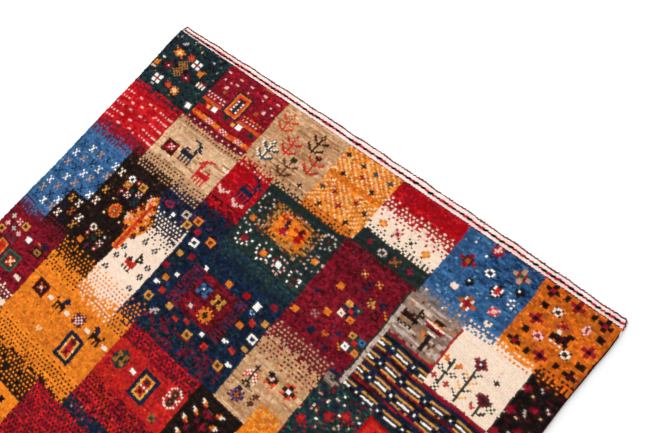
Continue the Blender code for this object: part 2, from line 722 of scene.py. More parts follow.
def gold_lattice(chart, box):
    """A gold ground under a lattice of pale diagonals."""
    chart.ground(box, "orange", clouds={"burnt": 0.16, "gold": 0.25})
    rows, cols = chart.grid(box)
    leaning = np.sin(rows / 6.0 + 0.6) + np.sin(cols / 5.0 + 1.4) > -0.4
    lattice = np.where(leaning, (rows - cols) % 3 == 0, (rows + cols) % 3 == 0)
    kept = chart.random.random(rows.shape)
    chart.put(box, lattice & (kept < 0.86), "apricot")
    chart.put(box, (lattice & (kept < 0.20)) | (kept > 0.93), "amber")
    chart.put(box, ~lattice & (kept < 0.06), "rust")


def gold_crosses(chart):
    """The gold lattice panel with rows of small crosses."""
    gold_lattice(chart, Box(-49, 72, -4, 128))
    chart.ground(Box(-49, 72, 53, 61), "orange", clouds={"burnt": 0.4})
    chart.lay(
        (PLUS, "navy", (-38, 13), (60, 85), (-4, 15)),
        (PLUS, "teal", (26, 16), (59, 17), (-38, 86)),
        (PLUS, "black", (-21, 45), (42, 47), (-20, 115), (42, 113)),
        (PLUS, "crimson", (10, 32), (-14, 79), (33, 78), (10, 99)),
    )
    chart.fade(Box(-49, 65, 119, 148), "orange", "green_black", 0.45)


def red_to_green(chart):
    """The panel that goes from red through cream to dark green."""
    chart.ground(Box(72, 216, -4, 40), "red", clouds={"scarlet": 0.22, "crimson": 0.12})
    chart.fade(Box(72, 216, 31, 70), "red", "cream", 0.55)
    chart.speckle(Box(72, 216, 44, 60), "pink", 0.22)
    chart.fill(Box(72, 216, 70, 86), "cream")
    chart.lay(
        (EYE, "orange amber", (97, 78), (190, 78)),
        (CROSSED, "crimson pink", (128, 78)),
        (CROSSED, "green_black cream", (158, 77)),
    )
    chart.fade(Box(72, 216, 84, 107), "cream", "green_black", 0.6)
    chart.ground(Box(72, 216, 106, 134), "green_black", clouds={"teal_black": 0.4})
    chart.lay(
        (CROSSED, "green_black grey_pale", (129, 118)),
        (CROSSED, "rust bottle", (157, 118)),
        (PLUS, "crimson", (98, 117), (188, 118)),
    )


def blue_flowers(chart):
    """The blue panel of flowers."""
    box = Box(216, 364, -4, 124)
    chart.fill(box, "blue")
    chart.cloud(box, "denim", 0.62, (1.0, 3.0))
    chart.cloud(Box(270, 364, -4, 60), "denim", 0.60, (1.0, 3.0))
    chart.cloud(Box(270, 364, -4, 60), "blue_dark", 0.30, (1.0, 3.0))
    chart.speckle(box, "blue_pale", 0.02)
    chart.lay(
        ((".#o#.", "##oo#", "#oo##", "#o###", ".###."), "crimson pink", (280, 5)),
        (QUATREFOIL, "tan green crimson", (332, 16)),
        (QUATREFOIL, "crimson rust green_black", (249, 46)),
        (ROUND_BUD, "black scarlet white", (318, 61)),
        (BROAD_FLOWER, "rust crimson cream", (291, 102)),
        (EYE, "white navy", (289, 42)),
        (PUPIL, "black white", (346, 41), (273, 71)),
        (BLOCK, "cream", (259, 90)),
        (CROSSED, "pink scarlet", (332, 90)),
        (BUD, "cream", (337, 112)),
        (DOT, "white", (239, 12), (266, 23), (344, 60), (352, 63), (341, 67), (350, 71), (346, 58)),
        (DASH, "blue_pale", (243, 113), (238, 109)),
        (DASH, "navy", (235, 77)),
    )
    chart.fade(Box(216, 312, 116, 142), "blue", "grey", 0.5)
    chart.speckle(Box(216, 312, 112, 134), "cream", 0.04)
    chart.fade(Box(312, 364, 116, 142), "blue", "cream", 0.5)


def burnt_orange_flowers(chart):
    """The burnt orange corner panel with rows of black and crimson flowers."""
    box = Box(364, 500, -4, 128)
    chart.ground(box, "burnt", clouds={"rust": 0.24, "orange": 0.14})
    chart.lay(
        (BLOSSOM, "black crimson", (386, 8), (386, 106), (478, 7)),
        (BLOSSOM, "black maroon", (481, 104)),
        (BLOSSOM, "crimson black", (430, 6), (430, 104), (387, 59), (482, 56)),
        (("##", "##", "##"), "black", (408, 6), (458, 5), (408, 106), (456, 102)),
        (BLOCK, "black", (386, 33), (482, 29), (386, 82)),
        (BRICK, "brown_black", (486, 80)),
        (CROSSED, "black cream", (408, 32), (457, 79)),
        (CROSSED, "crimson pink", (409, 80)),
        (TALL_DIAMOND, "pink crimson", (457, 28)),
        (("#.#.", ".###", ".##.", "#..."), "crimson", (430, 43)),
        (PONY, "black cream maroon", (437, 62)),
    )
    chart.cloud(Box(364, 500, 108, 120), "gold", 0.5)
    chart.fade(Box(364, 437, 116, 141), "gold", "cream", 0.5)
    chart.fade(Box(437, 500, 110, 137), "burnt", "brown_black", 0.5)


def dotted_red(chart):
    """The bright red panel with rows of white dots."""
    box = Box(-506, -363, 131, 246)
    chart.ground(box, "scarlet", clouds={"red": 0.45})
    chart.cloud(Box(-506, -363, 131, 150), "crimson", 0.5)
    chart.cloud(Box(-506, -363, 128, 140), "teal_black", 0.35)
    for number, down in enumerate((158, 173, 188, 205, 221)):
        near = 12 * (number % 2)
        chart.stamps(DASH, [(-432 - near, down), (-462 - near / 2, down + 1)], "pink")
        chart.stamps(DOT, [(x, down) for x in (-403, -395, -388, -482, -489, -497)], "pink")
        chart.stamps(LONG_DASH, [(-373, down)], "pink")
        chart.stamps(DOT, [(-417 + near, down + 1)], "pink")
    chart.cloud(Box(-506, -390, 224, 246), "crimson", 0.5)
    chart.cloud(Box(-506, -390, 228, 246), "violet", 0.3)
    chart.fade(Box(-506, -390, 240, 270), "crimson", "blue", 0.4)
    chart.speckle(Box(-506, -390, 243, 262), "violet", 0.3)
    chart.fill(Box(-390, -363, 232, 264), "maroon")
    chart.cloud(Box(-390, -363, 224, 250), "crimson", 0.5)
    chart.speckle(Box(-390, -363, 228, 264), "green_black", 0.25)
    chart.cloud(Box(-390, -363, 248, 264), "brown_black", 0.6)


def camel_goats(chart):
    """The camel panel with two goats and a red square."""
    box = Box(-363, -200, 148, 232)
    chart.fill(box, "camel_pale")
    chart.streaks(box, "camel", 0.60, 14)
    chart.streaks(box, "camel_dark", 0.10, 14)
    chart.frames(Box(-347, -316, 183, 211), "maroon", "brown_black", "scarlet")
    chart.cloud(Box(-343, -320, 187, 207), "crimson", 0.5)
    chart.lay(
        (SMALL_SALTIRE, "pink", (-332, 197)),
        (GOAT, "navy", (-289, 182)),
    )
    chart.stamps(GOAT, [(-242, 195)], "scarlet", flip=True)
    chart.stamps(DASH, [(-270, 184), (-306, 218)], "ochre")
    chart.streaks(Box(-235, -200, 160, 174), "cream", 0.35, 4)
    chart.fade(Box(-363, -271, 224, 264), "camel", "brown_black", 0.52)
    chart.fade(Box(-271, -200, 224, 264), "camel", "navy", 0.52)


def red_goat(chart):
    """The small red panel with a dark goat and white flowers."""
    chart.ground(Box(-200, -115, 143, 240), "red", clouds={"scarlet": 0.25, "crimson": 0.15})
    chart.dots(Box(-200, -115, 139, 144), "pink", 1)
    chart.lay(
        (GOAT, "navy", (-141, 173)),
        (TULIPS, "pink", (-181, 201), (-141, 209)),
    )
    chart.cloud(Box(-200, -115, 218, 240), "maroon", 0.45, (1.0, 2.0))
    chart.fill(Box(-200, -115, 240, 266), "navy")
    chart.cloud(Box(-200, -115, 236, 256), "maroon", 0.30, (1.0, 2.0))
    chart.speckle(Box(-200, -115, 240, 262), "black", 0.2)


def green_medallion(chart):
    """The dark green panel with a speckled orange medallion."""
    box = Box(-115, 65, 141, 262)
    chart.ground(box, "green_black", clouds={"teal_black": 0.40})
    chart.cloud(Box(-115, 65, 190, 262), "bottle", 0.35)
    border = {"ochre": 0.20, "brown": 0.18, "straw": 0.06, "burgundy": 0.05, "grey": 0.05}
    core = {"ochre": 0.24, "straw": 0.16, "orange": 0.18}
    for part, specks in ((Box(-86, 30, 152, 222), border), (Box(-73, 18, 158, 214), core)):
        for yarn, share in specks.items():
            chart.speckle(part, yarn, share)
    chart.ground(Box(-62, 8, 163, 206), "orange", clouds={"gold": 0.4})
    chart.cloud(Box(-62, 8, 163, 184), "brick", 0.25)
    chart.cloud(Box(-62, 8, 163, 206), "burnt", 0.15)
    chart.dots(Box(-62, 8, 161, 167), "brown", 2)
    chart.dots(Box(-62, 8, 202, 208), "gold", 3)
    chart.lay(
        (FIGURE, "crimson navy", (-39, 185)),
        (FIGURE, "red maroon", (-6, 184)),
    )
    squares = (
        (-99, 205, "orange", "gold", "grey_pale"),
        (47, 201, "orange", "gold", "grey_pale"),
        (-40, 243, "orange", "gold", "white"),
        (-86, 243, "crimson", "scarlet", "white"),
        (39, 243, "green_black", "crimson", "white"),
        (0, 243, "white", "white", "pink"),
        (-98, 168, "green_black", "crimson", "grey_pale"),
        (42, 160, "green_black", "crimson", "grey_pale"),
    )
    for x, down, outer, inner, dots in squares:
        chart.stamp(CORED_SQUARE, x, down, outer, inner)
        chart.ring(x, down, 14, dots)
    chart.speckle(Box(-113, 62, 150, 262), "grey_pale", 0.012)
    chart.speckle(Box(-113, 62, 222, 262), "crimson", 0.012)


def navy_sea(chart):
    """The wide navy panel in the middle, which the dark green one fades into."""
    for top, share in ((258, 0.10), (270, 0.30), (282, 0.60), (294, 0.85)):
        part = Box(-115, 65, top, top + 12)
        chart.fill(part, "teal_black")
        chart.cloud(part, "bottle", 0.45, (1.0, 2.0))
        chart.speckle(part, "navy", share)
    box = Box(-176, 65, 304, 478)
    chart.ground(box, "navy", specks={"blue_dark": 0.10, "black": 0.12, "teal_black": 0.15})
    chart.cloud(Box(-140, 52, 436, 478), "burgundy", 0.30, (1.0, 2.0))
    chart.speckle(Box(-140, 52, 440, 478), "bottle", 0.08)
    chart.fade(Box(-176, -138, 440, 516), "navy", "gold", 0.55)


def navy_medallion(chart):
    """The striped square in the navy panel, with four rosettes."""
    for down in np.arange(332, 411, 2 * MM_ALONG):
        chart.fill(Box(-126, 10, down, down + MM_ALONG), "burgundy")
    chart.speckle(Box(-126, 10, 331, 411), "violet", 0.14)
    chart.speckle(Box(-126, 10, 331, 411), "navy", 0.16)
    chart.ground(Box(-98, -13, 332, 408), "burgundy", clouds={"crimson": 0.14, "maroon": 0.36})
    chart.fill(Box(-90, -64, 344, 368), "navy")
    chart.stamps(LOBES, [(-77, 356)], "blue", "teal_black")
    chart.fill(Box(-54, -28, 344, 368), "maroon")
    chart.lay(
        (LOBES, "straw brown_black", (-41, 356)),
        (SUNBURST, "orange bottle brown_black", (-43, 389)),
        (CROSSED, "scarlet teal_black", (-77, 392)),
        (FLECK, "pink", (-77, 392)),
        (DOT, "white", (-77, 356)),
    )


def navy_squares(chart):
    """The small squares and rings scattered over the navy ground."""
    chart.lay(
        (SQUARE_RING, "straw brown", (-190, 290), (-152, 427), (-45, 433), (35, 436)),
        (SQUARE_RING, "white navy", (-152, 305), (52, 364)),
        (SQUARE_RING, "orange brown", (-176, 271), (-130, 289)),
        (BLOCK, "orange", (-45, 321), (20, 362), (-150, 384)),
        (BLOCK, "straw", (-161, 335), (-106, 417), (54, 332)),
        (LOW_BLOCK, "straw", (54, 384)),
        (BLOCK, "red", (-8, 320)),
        (("###", "###", "###", "###"), "white", (21, 320)),
        (("#.#", ".#."), "blue_pale", (21, 334)),
        (BLOCK, "brick", (36, 347), (-139, 405), (-5, 429)),
        (BLOCK, "crimson", (45, 303), (-137, 327), (-165, 367), (-163, 288)),
        (LOW_BLOCK, "brick", (40, 402), (-62, 417), (-81, 427)),
        (FLECK, "white", (-100, 326), (-23, 417), (-137, 367)),
        (("###", "##."), "white", (-158, 400), (20, 397), (51, 421)),
        (("..##", ".##.", "##.#", ".#.."), "grey_pale", (-125, 438)),
        (FLECK, "bottle", (-148, 350), (22, 414), (-165, 350)),
    )


def crossed_blue(chart):
    """The blue panel at the side, down to where it turns burgundy."""
    for box in (Box(-506, -390, 268, 373), Box(-506, -433, 373, 452)):
        chart.fill(box, "blue")
        chart.cloud(box, "denim", 0.34)
        chart.speckle(box, "blue_pale", 0.02)
    chart.fade(Box(-506, -433, 436, 470), "blue", "burgundy", 0.5)
    chart.speckle(Box(-506, -433, 438, 468), "violet", 0.45)


def saltire_rows(chart):
    """The saltires, in three colours that step along from row to row and run on into the brown panel."""
    colours = ("navy", "white", "tan")
    for row, down in enumerate((293, 317, 341, 363, 387, 407, 427)):
        for place, x in enumerate((-486, -463, -440, -418, -396)):
            if down < 373 or x < -432:
                chart.stamp(FINE_SALTIRE, x, down, colours[(row + place) % 3])
    chart.lay(
        (FINE_SALTIRE, "cream", (-374, 293), (-374, 363), (-397, 387), (-374, 407), (-420, 427)),
        (FINE_SALTIRE, "straw", (-374, 338), (-418, 387), (-374, 425)),
        (FINE_SALTIRE, "rust", (-397, 407)),
        (FINE_SALTIRE, "navy", (-397, 428), (-420, 407)),
    )


def brown_medallion(chart):
    """The brown-black panel with small flowers and an orange sun."""
    for box in (Box(-390, -271, 262, 448), Box(-433, -350, 373, 442)):
        chart.fill(box, "brown_black")
        chart.cloud(box, "black", 0.35)
        chart.speckle(box, "brown", 0.05)
    chart.lay(
        (RING, "white", (-345, 289)),
        (SQUARE_RING, "straw brown", (-311, 289)),
        (PLUS, "crimson", (-328, 289), (-346, 320)),
        (DOT, "pink", (-328, 289), (-346, 320)),
        (CROSSED, "straw rust", (-346, 303)),
        (CROSSED, "bottle navy", (-310, 320)),
        (SMALL_SALTIRE, "pink", (-311, 305), (-329, 320)),
        (FLECK, "bottle", (-328, 305)),
        (SUN, "orange brick green", (-327, 354)),
        (DOT, "apricot", (-346, 340), (-304, 342), (-303, 366), (-344, 370)),
        (EYE, "cream maroon", (-337, 402)),
        (SMALL_SALTIRE, "ochre", (-320, 402)),
        (PLUS, "bottle", (-303, 402)),
        (PLUS, "crimson", (-337, 417), (-304, 432)),
        (DOT, "cream", (-337, 417), (-304, 432), (-303, 402)),
        (SMALL_SALTIRE, "pink", (-304, 418)),
        (BLOCK, "orange", (-337, 433)),
        (PLUS, "violet", (-320, 433)),
        (PLUS, "bottle", (-320, 418)),
    )
    chart.fade(Box(-433, -363, 436, 466), "brown_black", "burgundy", 0.4)
    chart.fade(Box(-363, -271, 445, 514), "brown_black", "gold", 0.53)


def navy_to_cream(chart):
    """The navy panel that turns to cream, with a kid and four-dot flowers."""
    chart.ground(Box(-271, -115, 262, 304), "navy", clouds={"black": 0.25})
    chart.speckle(Box(-271, -115, 262, 300), "violet", 0.06)
    chart.fade(Box(-271, -176, 294, 354), "navy", "cream", 0.62)
    chart.fill(Box(-176, -115, 300, 310), "navy")
    chart.fill(Box(-271, -176, 354, 444), "cream")
    chart.fill(Box(-179, -175, 302, 354), "cream")
    chart.lay(
        (WIDE_RING, "crimson", (-246, 281)),
        (SQUARE_RING, "grey_pale black", (-206, 276)),
        (FLECK, "white", (-226, 289)),
    )
    upper = [(-231, 362), (-203, 362), (-190, 390), (-190, 411), (-190, 438)]
    side = [(-258, 390), (-258, 412), (-258, 440)]
    chart.stamps(FOUR_DOTS, upper + side, "navy", "grey_pale")
    chart.stamps(KID, [(-224, 400)], "brown_black", "brick")
    chart.fade(Box(-271, -176, 444, 514), "cream", "gold", 0.52)


def leaf(chart):
    """The mottled orange leaf between the brown and the cream."""
    box = Box(-310, -235, 278, 410)
    rows, cols = chart.grid(box)
    along = ((rows + 0.5) * MM_ALONG + CHART_TOP - 281.0) / 98.0
    across = (cols + 0.5) * MM_ACROSS + CHART_LEFT + 272.0
    shape = np.clip(along, 0.0, 1.0)
    blade = (np.abs(across) < 29.0 * np.sin(math.pi * shape ** 1.4) ** 0.8) & (along > 0) & (along < 1)
    stalk = (np.abs(across) < 7.0) & (along >= 0.9) & (along < 1.28)
    body = blade | stalk
    mottle = chart.random.random(rows.shape)
    chart.put(box, body, "orange")
    chart.put(box, body & (mottle < 0.46), "gold")
    chart.put(box, body & (mottle < 0.10), "apricot")
    chart.put(box, body & (mottle > 0.80), "rust")
    chart.put(box, body & (mottle > 0.93) & (along > 0.2), "brown_black")
    flowers = [(-288, 316), (-255, 320), (-293, 331), (-256, 346), (-285, 364), (-262, 302), (-260, 368)]
    chart.stamps(FOUR_DOTS, flowers, "brown_black", "crimson")
    rib = body & (np.abs(across) < 3.0) & (along > 0.24)
    chart.put(box, rib, "vermilion")
    chart.put(box, rib & (mottle > 0.5), "scarlet")
    chart.stamps(FINE_SALTIRE, [(-293, 346), (-284, 298)], "pink")


def cluster(chart, x, down, arms, corners):
    """Four squares round a red one, joined by dark knots."""
    chart.stamps(("#######", "#######"), [(x, down)], arms)
    chart.stamps(("##",) * 8, [(x, down)], arms)
    chart.stamps(FLECK, [(x, down)], "scarlet")
    places = ((-10, -10), (10, -10), (-10, 10), (10, 10))
    for (right, low), (outer, inner) in zip(places, corners):
        chart.stamp(CORED_SQUARE, x + right, down + low, outer, inner)


def burgundy_field(chart):
    """The burgundy panel of scattered squares and two patchwork clusters."""
    box = Box(65, 213, 133, 346)
    chart.fill(box, "burgundy")
    chart.cloud(box, "crimson", 0.16, (1.0, 2.0))
    chart.cloud(box, "maroon", 0.18, (1.0, 2.0))
    chart.cloud(Box(65, 213, 133, 158), "maroon", 0.30)
    chart.speckle(box, "violet", 0.012)
    chart.speckle(Box(72, 216, 128, 140), "green_black", 0.25)
    chart.lay(
        (("#.#", ".o.", "#.#"), "orange apricot", (129, 165), (162, 166)),
        (("#.#.", ".##.", "#o##", ".#.#"), "straw navy", (172, 199)),
        (("#..", ".#.", "..#"), "orange", (203, 198), (176, 284)),
        (BLOCK, "orange", (110, 206), (122, 254), (76, 281)),
        ((".##.", "####", "####", ".##."), "navy", (119, 294)),
        (FLECK, "navy", (85, 235), (159, 268), (159, 300), (147, 173), (150, 184)),
        (BUD, "rust", (144, 283)),
        (SMALL_SALTIRE, "grey", (107, 266)),
        (RING, "brown_black", (188, 211)),
        (("###.", "##.#", "#.#.", ".#.."), "navy", (192, 190)),
    )
    upper = (("straw", "orange"), ("bottle", "grey"), ("cream", "crimson"), ("orange", "brick"))
    lower = (("straw", "bottle"), ("blue", "navy"), ("white", "green"), ("straw", "brick"))
    cluster(chart, 152, 229, "navy", upper)
    cluster(chart, 194, 266, "bottle", lower)
    chart.fill(Box(208, 214, 140, 322), "green_black")
    chart.fill(Box(184, 214, 316, 325), "navy")
    chart.fade(Box(65, 187, 306, 374), "burgundy", "camel", 0.5)
    rows, cols = chart.grid(Box(65, 187, 306, 340))
    index = YARN_NAMES.index("camel")
    chart.put(Box(65, 187, 306, 340), chart.knots[rows, cols] == index, "tan")


def camel_garden(chart):
    """The camel panel with a bird, flowers and a small plant."""
    box = Box(65, 187, 373, 472)
    chart.fill(box, "camel")
    chart.streaks(box, "camel_dark", 0.24, 10)
    chart.streaks(box, "camel_pale", 0.34, 10)
    chart.stamps(BUSH, [(93, 408)], "green_black", "scarlet", "cream")
    chart.disc(93, 447, 14, "navy", petals=8)
    chart.lay(
        (("#x#x#", "x.o.x", "#ooo#", "x.o.x", "#x#x#"), "crimson rust blue", (93, 447)),
        (BIRD, "brown_black vermilion pink", (128, 395)),
    )
    chart.disc(161, 392, 14, "vermilion", petals=8)
    chart.lay(
        (BLOSSOM, "brown_black white", (161, 392)),
        (PLUS, "brown", (123, 432), (123, 445)),
        (DOT, "crimson", (128, 428), (118, 437), (128, 441)),
    )
    chart.fade(Box(137, 190, 424, 448), "camel", "gold", 0.4)
    chart.fill(Box(137, 190, 448, 500), "gold")
    chart.cloud(Box(137, 190, 436, 500), "amber", 0.3)
    chart.cloud(Box(137, 190, 436, 500), "orange", 0.3)


def grey_bird(chart):
    """The grey-beige panel with an animal and a striped stand, and its pale and red edges."""
    box = Box(213, 311, 140, 218)
    chart.fill(box, "grey")
    chart.streaks(box, "grey_pale", 0.30, 9)
    chart.streaks(box, "camel_dark", 0.20, 9)
    chart.speckle(box, "brown", 0.03)
    chart.streaks(Box(213, 311, 196, 218), "grey_pale", 0.4, 9)
    chart.lay(
        (LONG_BIRD, "brown_black maroon", (237, 169)),
        (("##.#.##", "#.#.#.#"), "brown_black", (234, 190)),
    )
    stand = ("..####..", "..####..", ".xxxxxx.", "xooooox.")
    chart.stamp(stand, 280, 157, "brown_black", "cream", "orange")
    chart.lay(
        (("#########",), "cream", (280, 162)),
        (("##########", ".########."), "crimson", (280, 167)),
        ((".######.",), "maroon", (280, 170)),
        (("####",), "cream", (280, 174)),
        (("##",) * 9, "brown_black", (279, 191)),
        (("#.", "##", ".#", ".#"), "orange", (267, 183)),
        (("..#", "#.#", "##.", ".#."), "brown", (292, 190)),
    )
    chart.fill(Box(214, 221, 166, 327), "grey_pale")
    chart.streaks(Box(214, 221, 166, 327), "grey", 0.5, 3)
    chart.fill(Box(311, 315, 141, 220), "red")
    chart.speckle(Box(311, 319, 141, 220), "crimson", 0.3)
    chart.fill(Box(221, 315, 216, 219), "red")
    chart.speckle(Box(221, 315, 213, 219), "crimson", 0.4)


def cream_garden(chart):
    """The cream panel with three flowering plants."""
    chart.fill(Box(315, 437, 141, 243), "cream")
    chart.lay(
        (PLANT, "teal_black orange green_black brick", (335, 212)),
        (TALL_PLANT, "teal_black burgundy white amber", (371, 199)),
        (SHORT_PLANT, "green_black burgundy maroon brick", (406, 217)),
        (PLUS, "green_black", (405, 176)),
        (DOT, "pink", (404, 165), (404, 158)),
        (SMALL_SALTIRE, "green", (423, 214)),
    )


def dark_side(chart, box):
    """A brown-black panel with red flowers and cream flecks."""
    chart.ground(box, "brown_black", clouds={"black": 0.6, "maroon": 0.07})
    for row, down in enumerate(np.arange(box.top + 18, box.low - 8, 21)):
        for x in np.arange(box.left + 9 + 26 * (row % 2), box.right - 6, 52):
            chart.stamp(EYE, x, down, "maroon" if row % 2 else "burgundy", "crimson")
            chart.stamp(("#.", ".#"), x + 18, down - 8, "grey_pale")
            chart.stamp(DOT, x - 8, down + 8, "grey_pale")
            chart.stamp(DOT, x + 14, down + 7, "camel")


def striped_navy(chart, box):
    """A navy panel of short orange and white bars between red lines."""
    chart.fill(box, "navy")
    chart.streaks(box, "black", 0.5, 8)
    period, bar, gap = 28.4, 34.0, 11.5
    for top in np.arange(box.top, box.low, period):
        lines = ((7.0, "straw", 0.0), (13.8, "white", 6.5), (20.6, "straw", 0.0))
        for start in np.arange(box.left - 15.0, box.right, bar + gap):
            for drop, yarn, short in lines:
                if top + drop + MM_ALONG > box.low:
                    continue
                left, right = max(start + short, box.left), min(start + bar - short, box.right)
                chart.fill(Box(left, max(left, right), top + drop, top + drop + MM_ALONG), yarn)
            if box.left < start + bar + gap / 2 < box.right and top + 16 < box.low:
                chart.stamp(DOT, start + bar + gap / 2, top + 15, "white")
        if top + period < box.low:
            chart.fill(Box(box.left, box.right, top + period - 3.4, top + period), "crimson")
            chart.streaks(Box(box.left, box.right, top + period - 7, top + period), "maroon", 0.4, 8)


def teal_speckle(chart):
    """The teal panel full of small specks, with a framed red and navy panel beside it."""
    box = Box(187, 290, 328, 452)
    chart.ground(box, "teal_black", clouds={"navy": 0.25, "bottle": 0.25},
                 specks={"green": 0.09, "burgundy": 0.07, "crimson": 0.03, "grey_pale": 0.018, "tan": 0.015})
    chart.cloud(Box(187, 222, 324, 342), "grey", 0.6)
    chart.lay(
        (EYE, "crimson brick", (260, 360), (237, 378), (205, 407)),
        (DOT, "white", (240, 338), (247, 349), (283, 356), (222, 362), (250, 367), (206, 380), (224, 394)),
    )
    chart.fill(Box(290, 437, 333, 452), "navy")
    chart.frames(Box(290, 437, 333, 452), "red", "scarlet", "vermilion", "scarlet")
    chart.frames(Box(308, 419, 348, 437), "navy", "ochre", "navy")
    chart.stamps(CORNERED, [(335, 392), (364, 392), (393, 392)], "scarlet", "orange", "white")


def gold_field(chart):
    """The wide gold panel with its row of small figures and two framed medallions."""
    box = Box(-363, -138, 514, 616)
    chart.ground(box, "gold", clouds={"orange": 0.45}, specks={"rust": 0.03})
    chart.frames(Box(-346, -314, 530, 560), "maroon", "brown_black", "maroon", "burgundy")
    chart.lay(
        (SALTIRE, "rust", (-330, 545)),
        (DASH, "pink", (-330, 545)),
        (LOW_BLOCK, "cream", (-299, 546), (-249, 545), (-194, 541), (-147, 540)),
        (HORSE, "navy brown_black", (-271, 538)),
    )
    chart.stamps(HORSE, [(-172, 535)], "navy", "brown_black", flip=True)
    chart.stamps(ROSETTE, [(-222, 538)], "violet", "maroon", "pink")
    chart.frames(Box(-221, -180, 557, 609), "navy", "navy", "amber", "vermilion", "scarlet", "crimson")
    chart.lay(
        (EYE, "crimson green_black", (-200, 573)),
        (DOT, "cream", (-209, 583), (-192, 583)),
        (SALTIRE, "maroon", (-200, 594)),
        (BUD, "apricot", (-273, 597)),
    )
    chart.fade(Box(-363, -138, 612, 704), "gold", "brown_black", 0.45)


def burgundy_side(chart):
    """The burgundy panel at the side, with pale flowers and a green medallion."""
    box = Box(-506, -363, 464, 590)
    chart.ground(box, "burgundy", clouds={"crimson": 0.40, "maroon": 0.15})
    chart.lay(
        (CROSSED_SQUARE, "green_black grey_pale", (-487, 484), (-468, 502)),
        (SMALL_SALTIRE, "pink", (-468, 484)),
        (CROSSED_SQUARE, "crimson pink", (-487, 502), (-450, 502)),
        (SQUARE_RING, "straw maroon", (-449, 485), (-488, 517)),
        (FLECK, "violet", (-470, 516)),
        (SMALL_SALTIRE, "bottle", (-450, 517)),
        (BLOCK, "white", (-422, 500)),
        (BAR, "cream", (-383, 562)),
        (("#.#.", ".##.", "####"), "navy", (-383, 489)),
    )
    chart.frames(Box(-401, -376, 496, 515), "black", "ochre", "navy")
    chart.stamps(DASH, [(-396, 492)], "orange")
    chart.frames(Box(-478, -446, 526, 562), "navy", "orange", "brick")
    chart.frames(Box(-439, -405, 531, 565), "green", "bottle", "crimson", "brick")
    chart.stamps(SALTIRE, [(-422, 548)], "apricot")
    chart.fade(Box(-506, -363, 582, 628), "burgundy", "cream", 0.5)


def brick_field(chart):
    """The brick red panel with rosettes and a framed medallion."""
    box = Box(-138, 38, 475, 640)
    chart.ground(box, "brick", clouds={"scarlet": 0.35, "crimson": 0.12})
    chart.ground(Box(-138, 38, 475, 508), "crimson", clouds={"scarlet": 0.4})
    chart.dots(Box(-138, 38, 477, 508), "maroon", 2)
    chart.speckle(Box(-138, 38, 477, 508), "green_black", 0.10)
    chart.disc(-108, 535, 16, "bottle")
    chart.lay(
        (LOBES, "ochre green_black", (-108, 535)),
        (LOW_BLOCK, "white", (-76, 537)),
    )
    chart.frames(Box(-59, -20, 519, 567), "navy", "navy", "amber", "vermilion", "scarlet")
    chart.lay(
        (EYE, "crimson green_black", (-39, 535)),
        (DOT, "cream", (-47, 543), (-31, 543), (-39, 543)),
        (SALTIRE, "maroon", (-39, 553)),
        (OVAL, "green_black cream ochre", (13, 523)),
        (CROSSED, "bottle rust", (9, 567)),
    )
    chart.cloud(Box(-138, 38, 582, 634), "crimson", 0.45)
    chart.cloud(Box(-138, 38, 582, 634), "maroon", 0.12)
    chart.dots(Box(-138, 38, 586, 634), "brown_black", 2)
    chart.speckle(Box(-138, 38, 586, 634), "brown_black", 0.05)
    band = Box(-138, 38, 632, 658)
    chart.ground(band, "navy", specks={"teal_black": 0.3, "crimson": 0.12, "violet": 0.12, "grey": 0.04})
    below = Box(-200, -60, 658, 790)
    chart.ground(below, "crimson", clouds={"scarlet": 0.35})
    chart.dots(below, "brown_black", 2)
    chart.speckle(below, "green_black", 0.06)


def butterfly_brown(chart):
    """The brown-black panel with pale and red flowers like small butterflies."""
    box = Box(38, 137, 472, 640)
    chart.ground(box, "brown_black", clouds={"black": 0.4})
    chart.cloud(Box(66, 137, 496, 640), "maroon", 0.16)
    flowers = ((66, 493), (101, 491), (61, 513), (105, 511), (53, 534), (98, 536), (62, 556), (110, 556))
    for number, (x, down) in enumerate(flowers):
        chart.stamp(BUTTERFLY, x, down, "cream", "orange", "crimson", flip=number % 2 == 1)
        chart.stamp(FLECK, x + 12 * (-1) ** number, down + 9, "burgundy")
        chart.stamp(DOT, x + 14 * (-1) ** number, down + 3, "bottle")
    chart.stamps(("#", "#", "#", "#"), [(84, 500), (86, 522), (84, 546)], "crimson")


def plain_panel(chart, box, ground, shade):
    """A plain panel with streaks."""
    chart.fill(box, ground)
    chart.streaks(box, shade, 0.4)


def tree_panel(chart, box, ground, shade, trees):
    """A plain panel with rows of trees."""
    chart.fill(box, ground)
    chart.streaks(box, shade, 0.3, 16)
    for row, down in enumerate(np.arange(box.top + 30, box.low - 22, 46)):
        for place, x in enumerate(np.arange(box.left + 24 + 18 * (row % 2), box.right - 16, 40)):
            chart.stamp(TREE, x, down, trees[(row + place) % len(trees)])


def flower_panel(chart, box, ground, shade, flowers):
    """A plain panel with staggered rows of flowers; flowers holds (motif, yarns)."""
    chart.fill(box, ground)
    chart.streaks(box, shade, 0.3)
    for row, down in enumerate(np.arange(box.top + 20, box.low - 10, 27)):
        for place, x in enumerate(np.arange(box.left + 18 + 14 * (row % 2), box.right - 10, 29)):
            motif, yarns = flowers[(row + place) % len(flowers)]
            chart.stamp(motif, x, down, *yarns)


def goat_panel(chart, box, ground, shade, goats):
    """A plain panel with goats that face each other."""
    chart.fill(box, ground)
    chart.streaks(box, shade, 0.3, 16)
    for row, down in enumerate(np.arange(box.top + 38, box.low - 24, 60)):
        for place, x in enumerate(np.arange(box.left + 28, box.right - 20, 48)):
            chart.stamp(GOAT, x, down, goats[(row + place) % len(goats)], flip=place % 2 == 1)


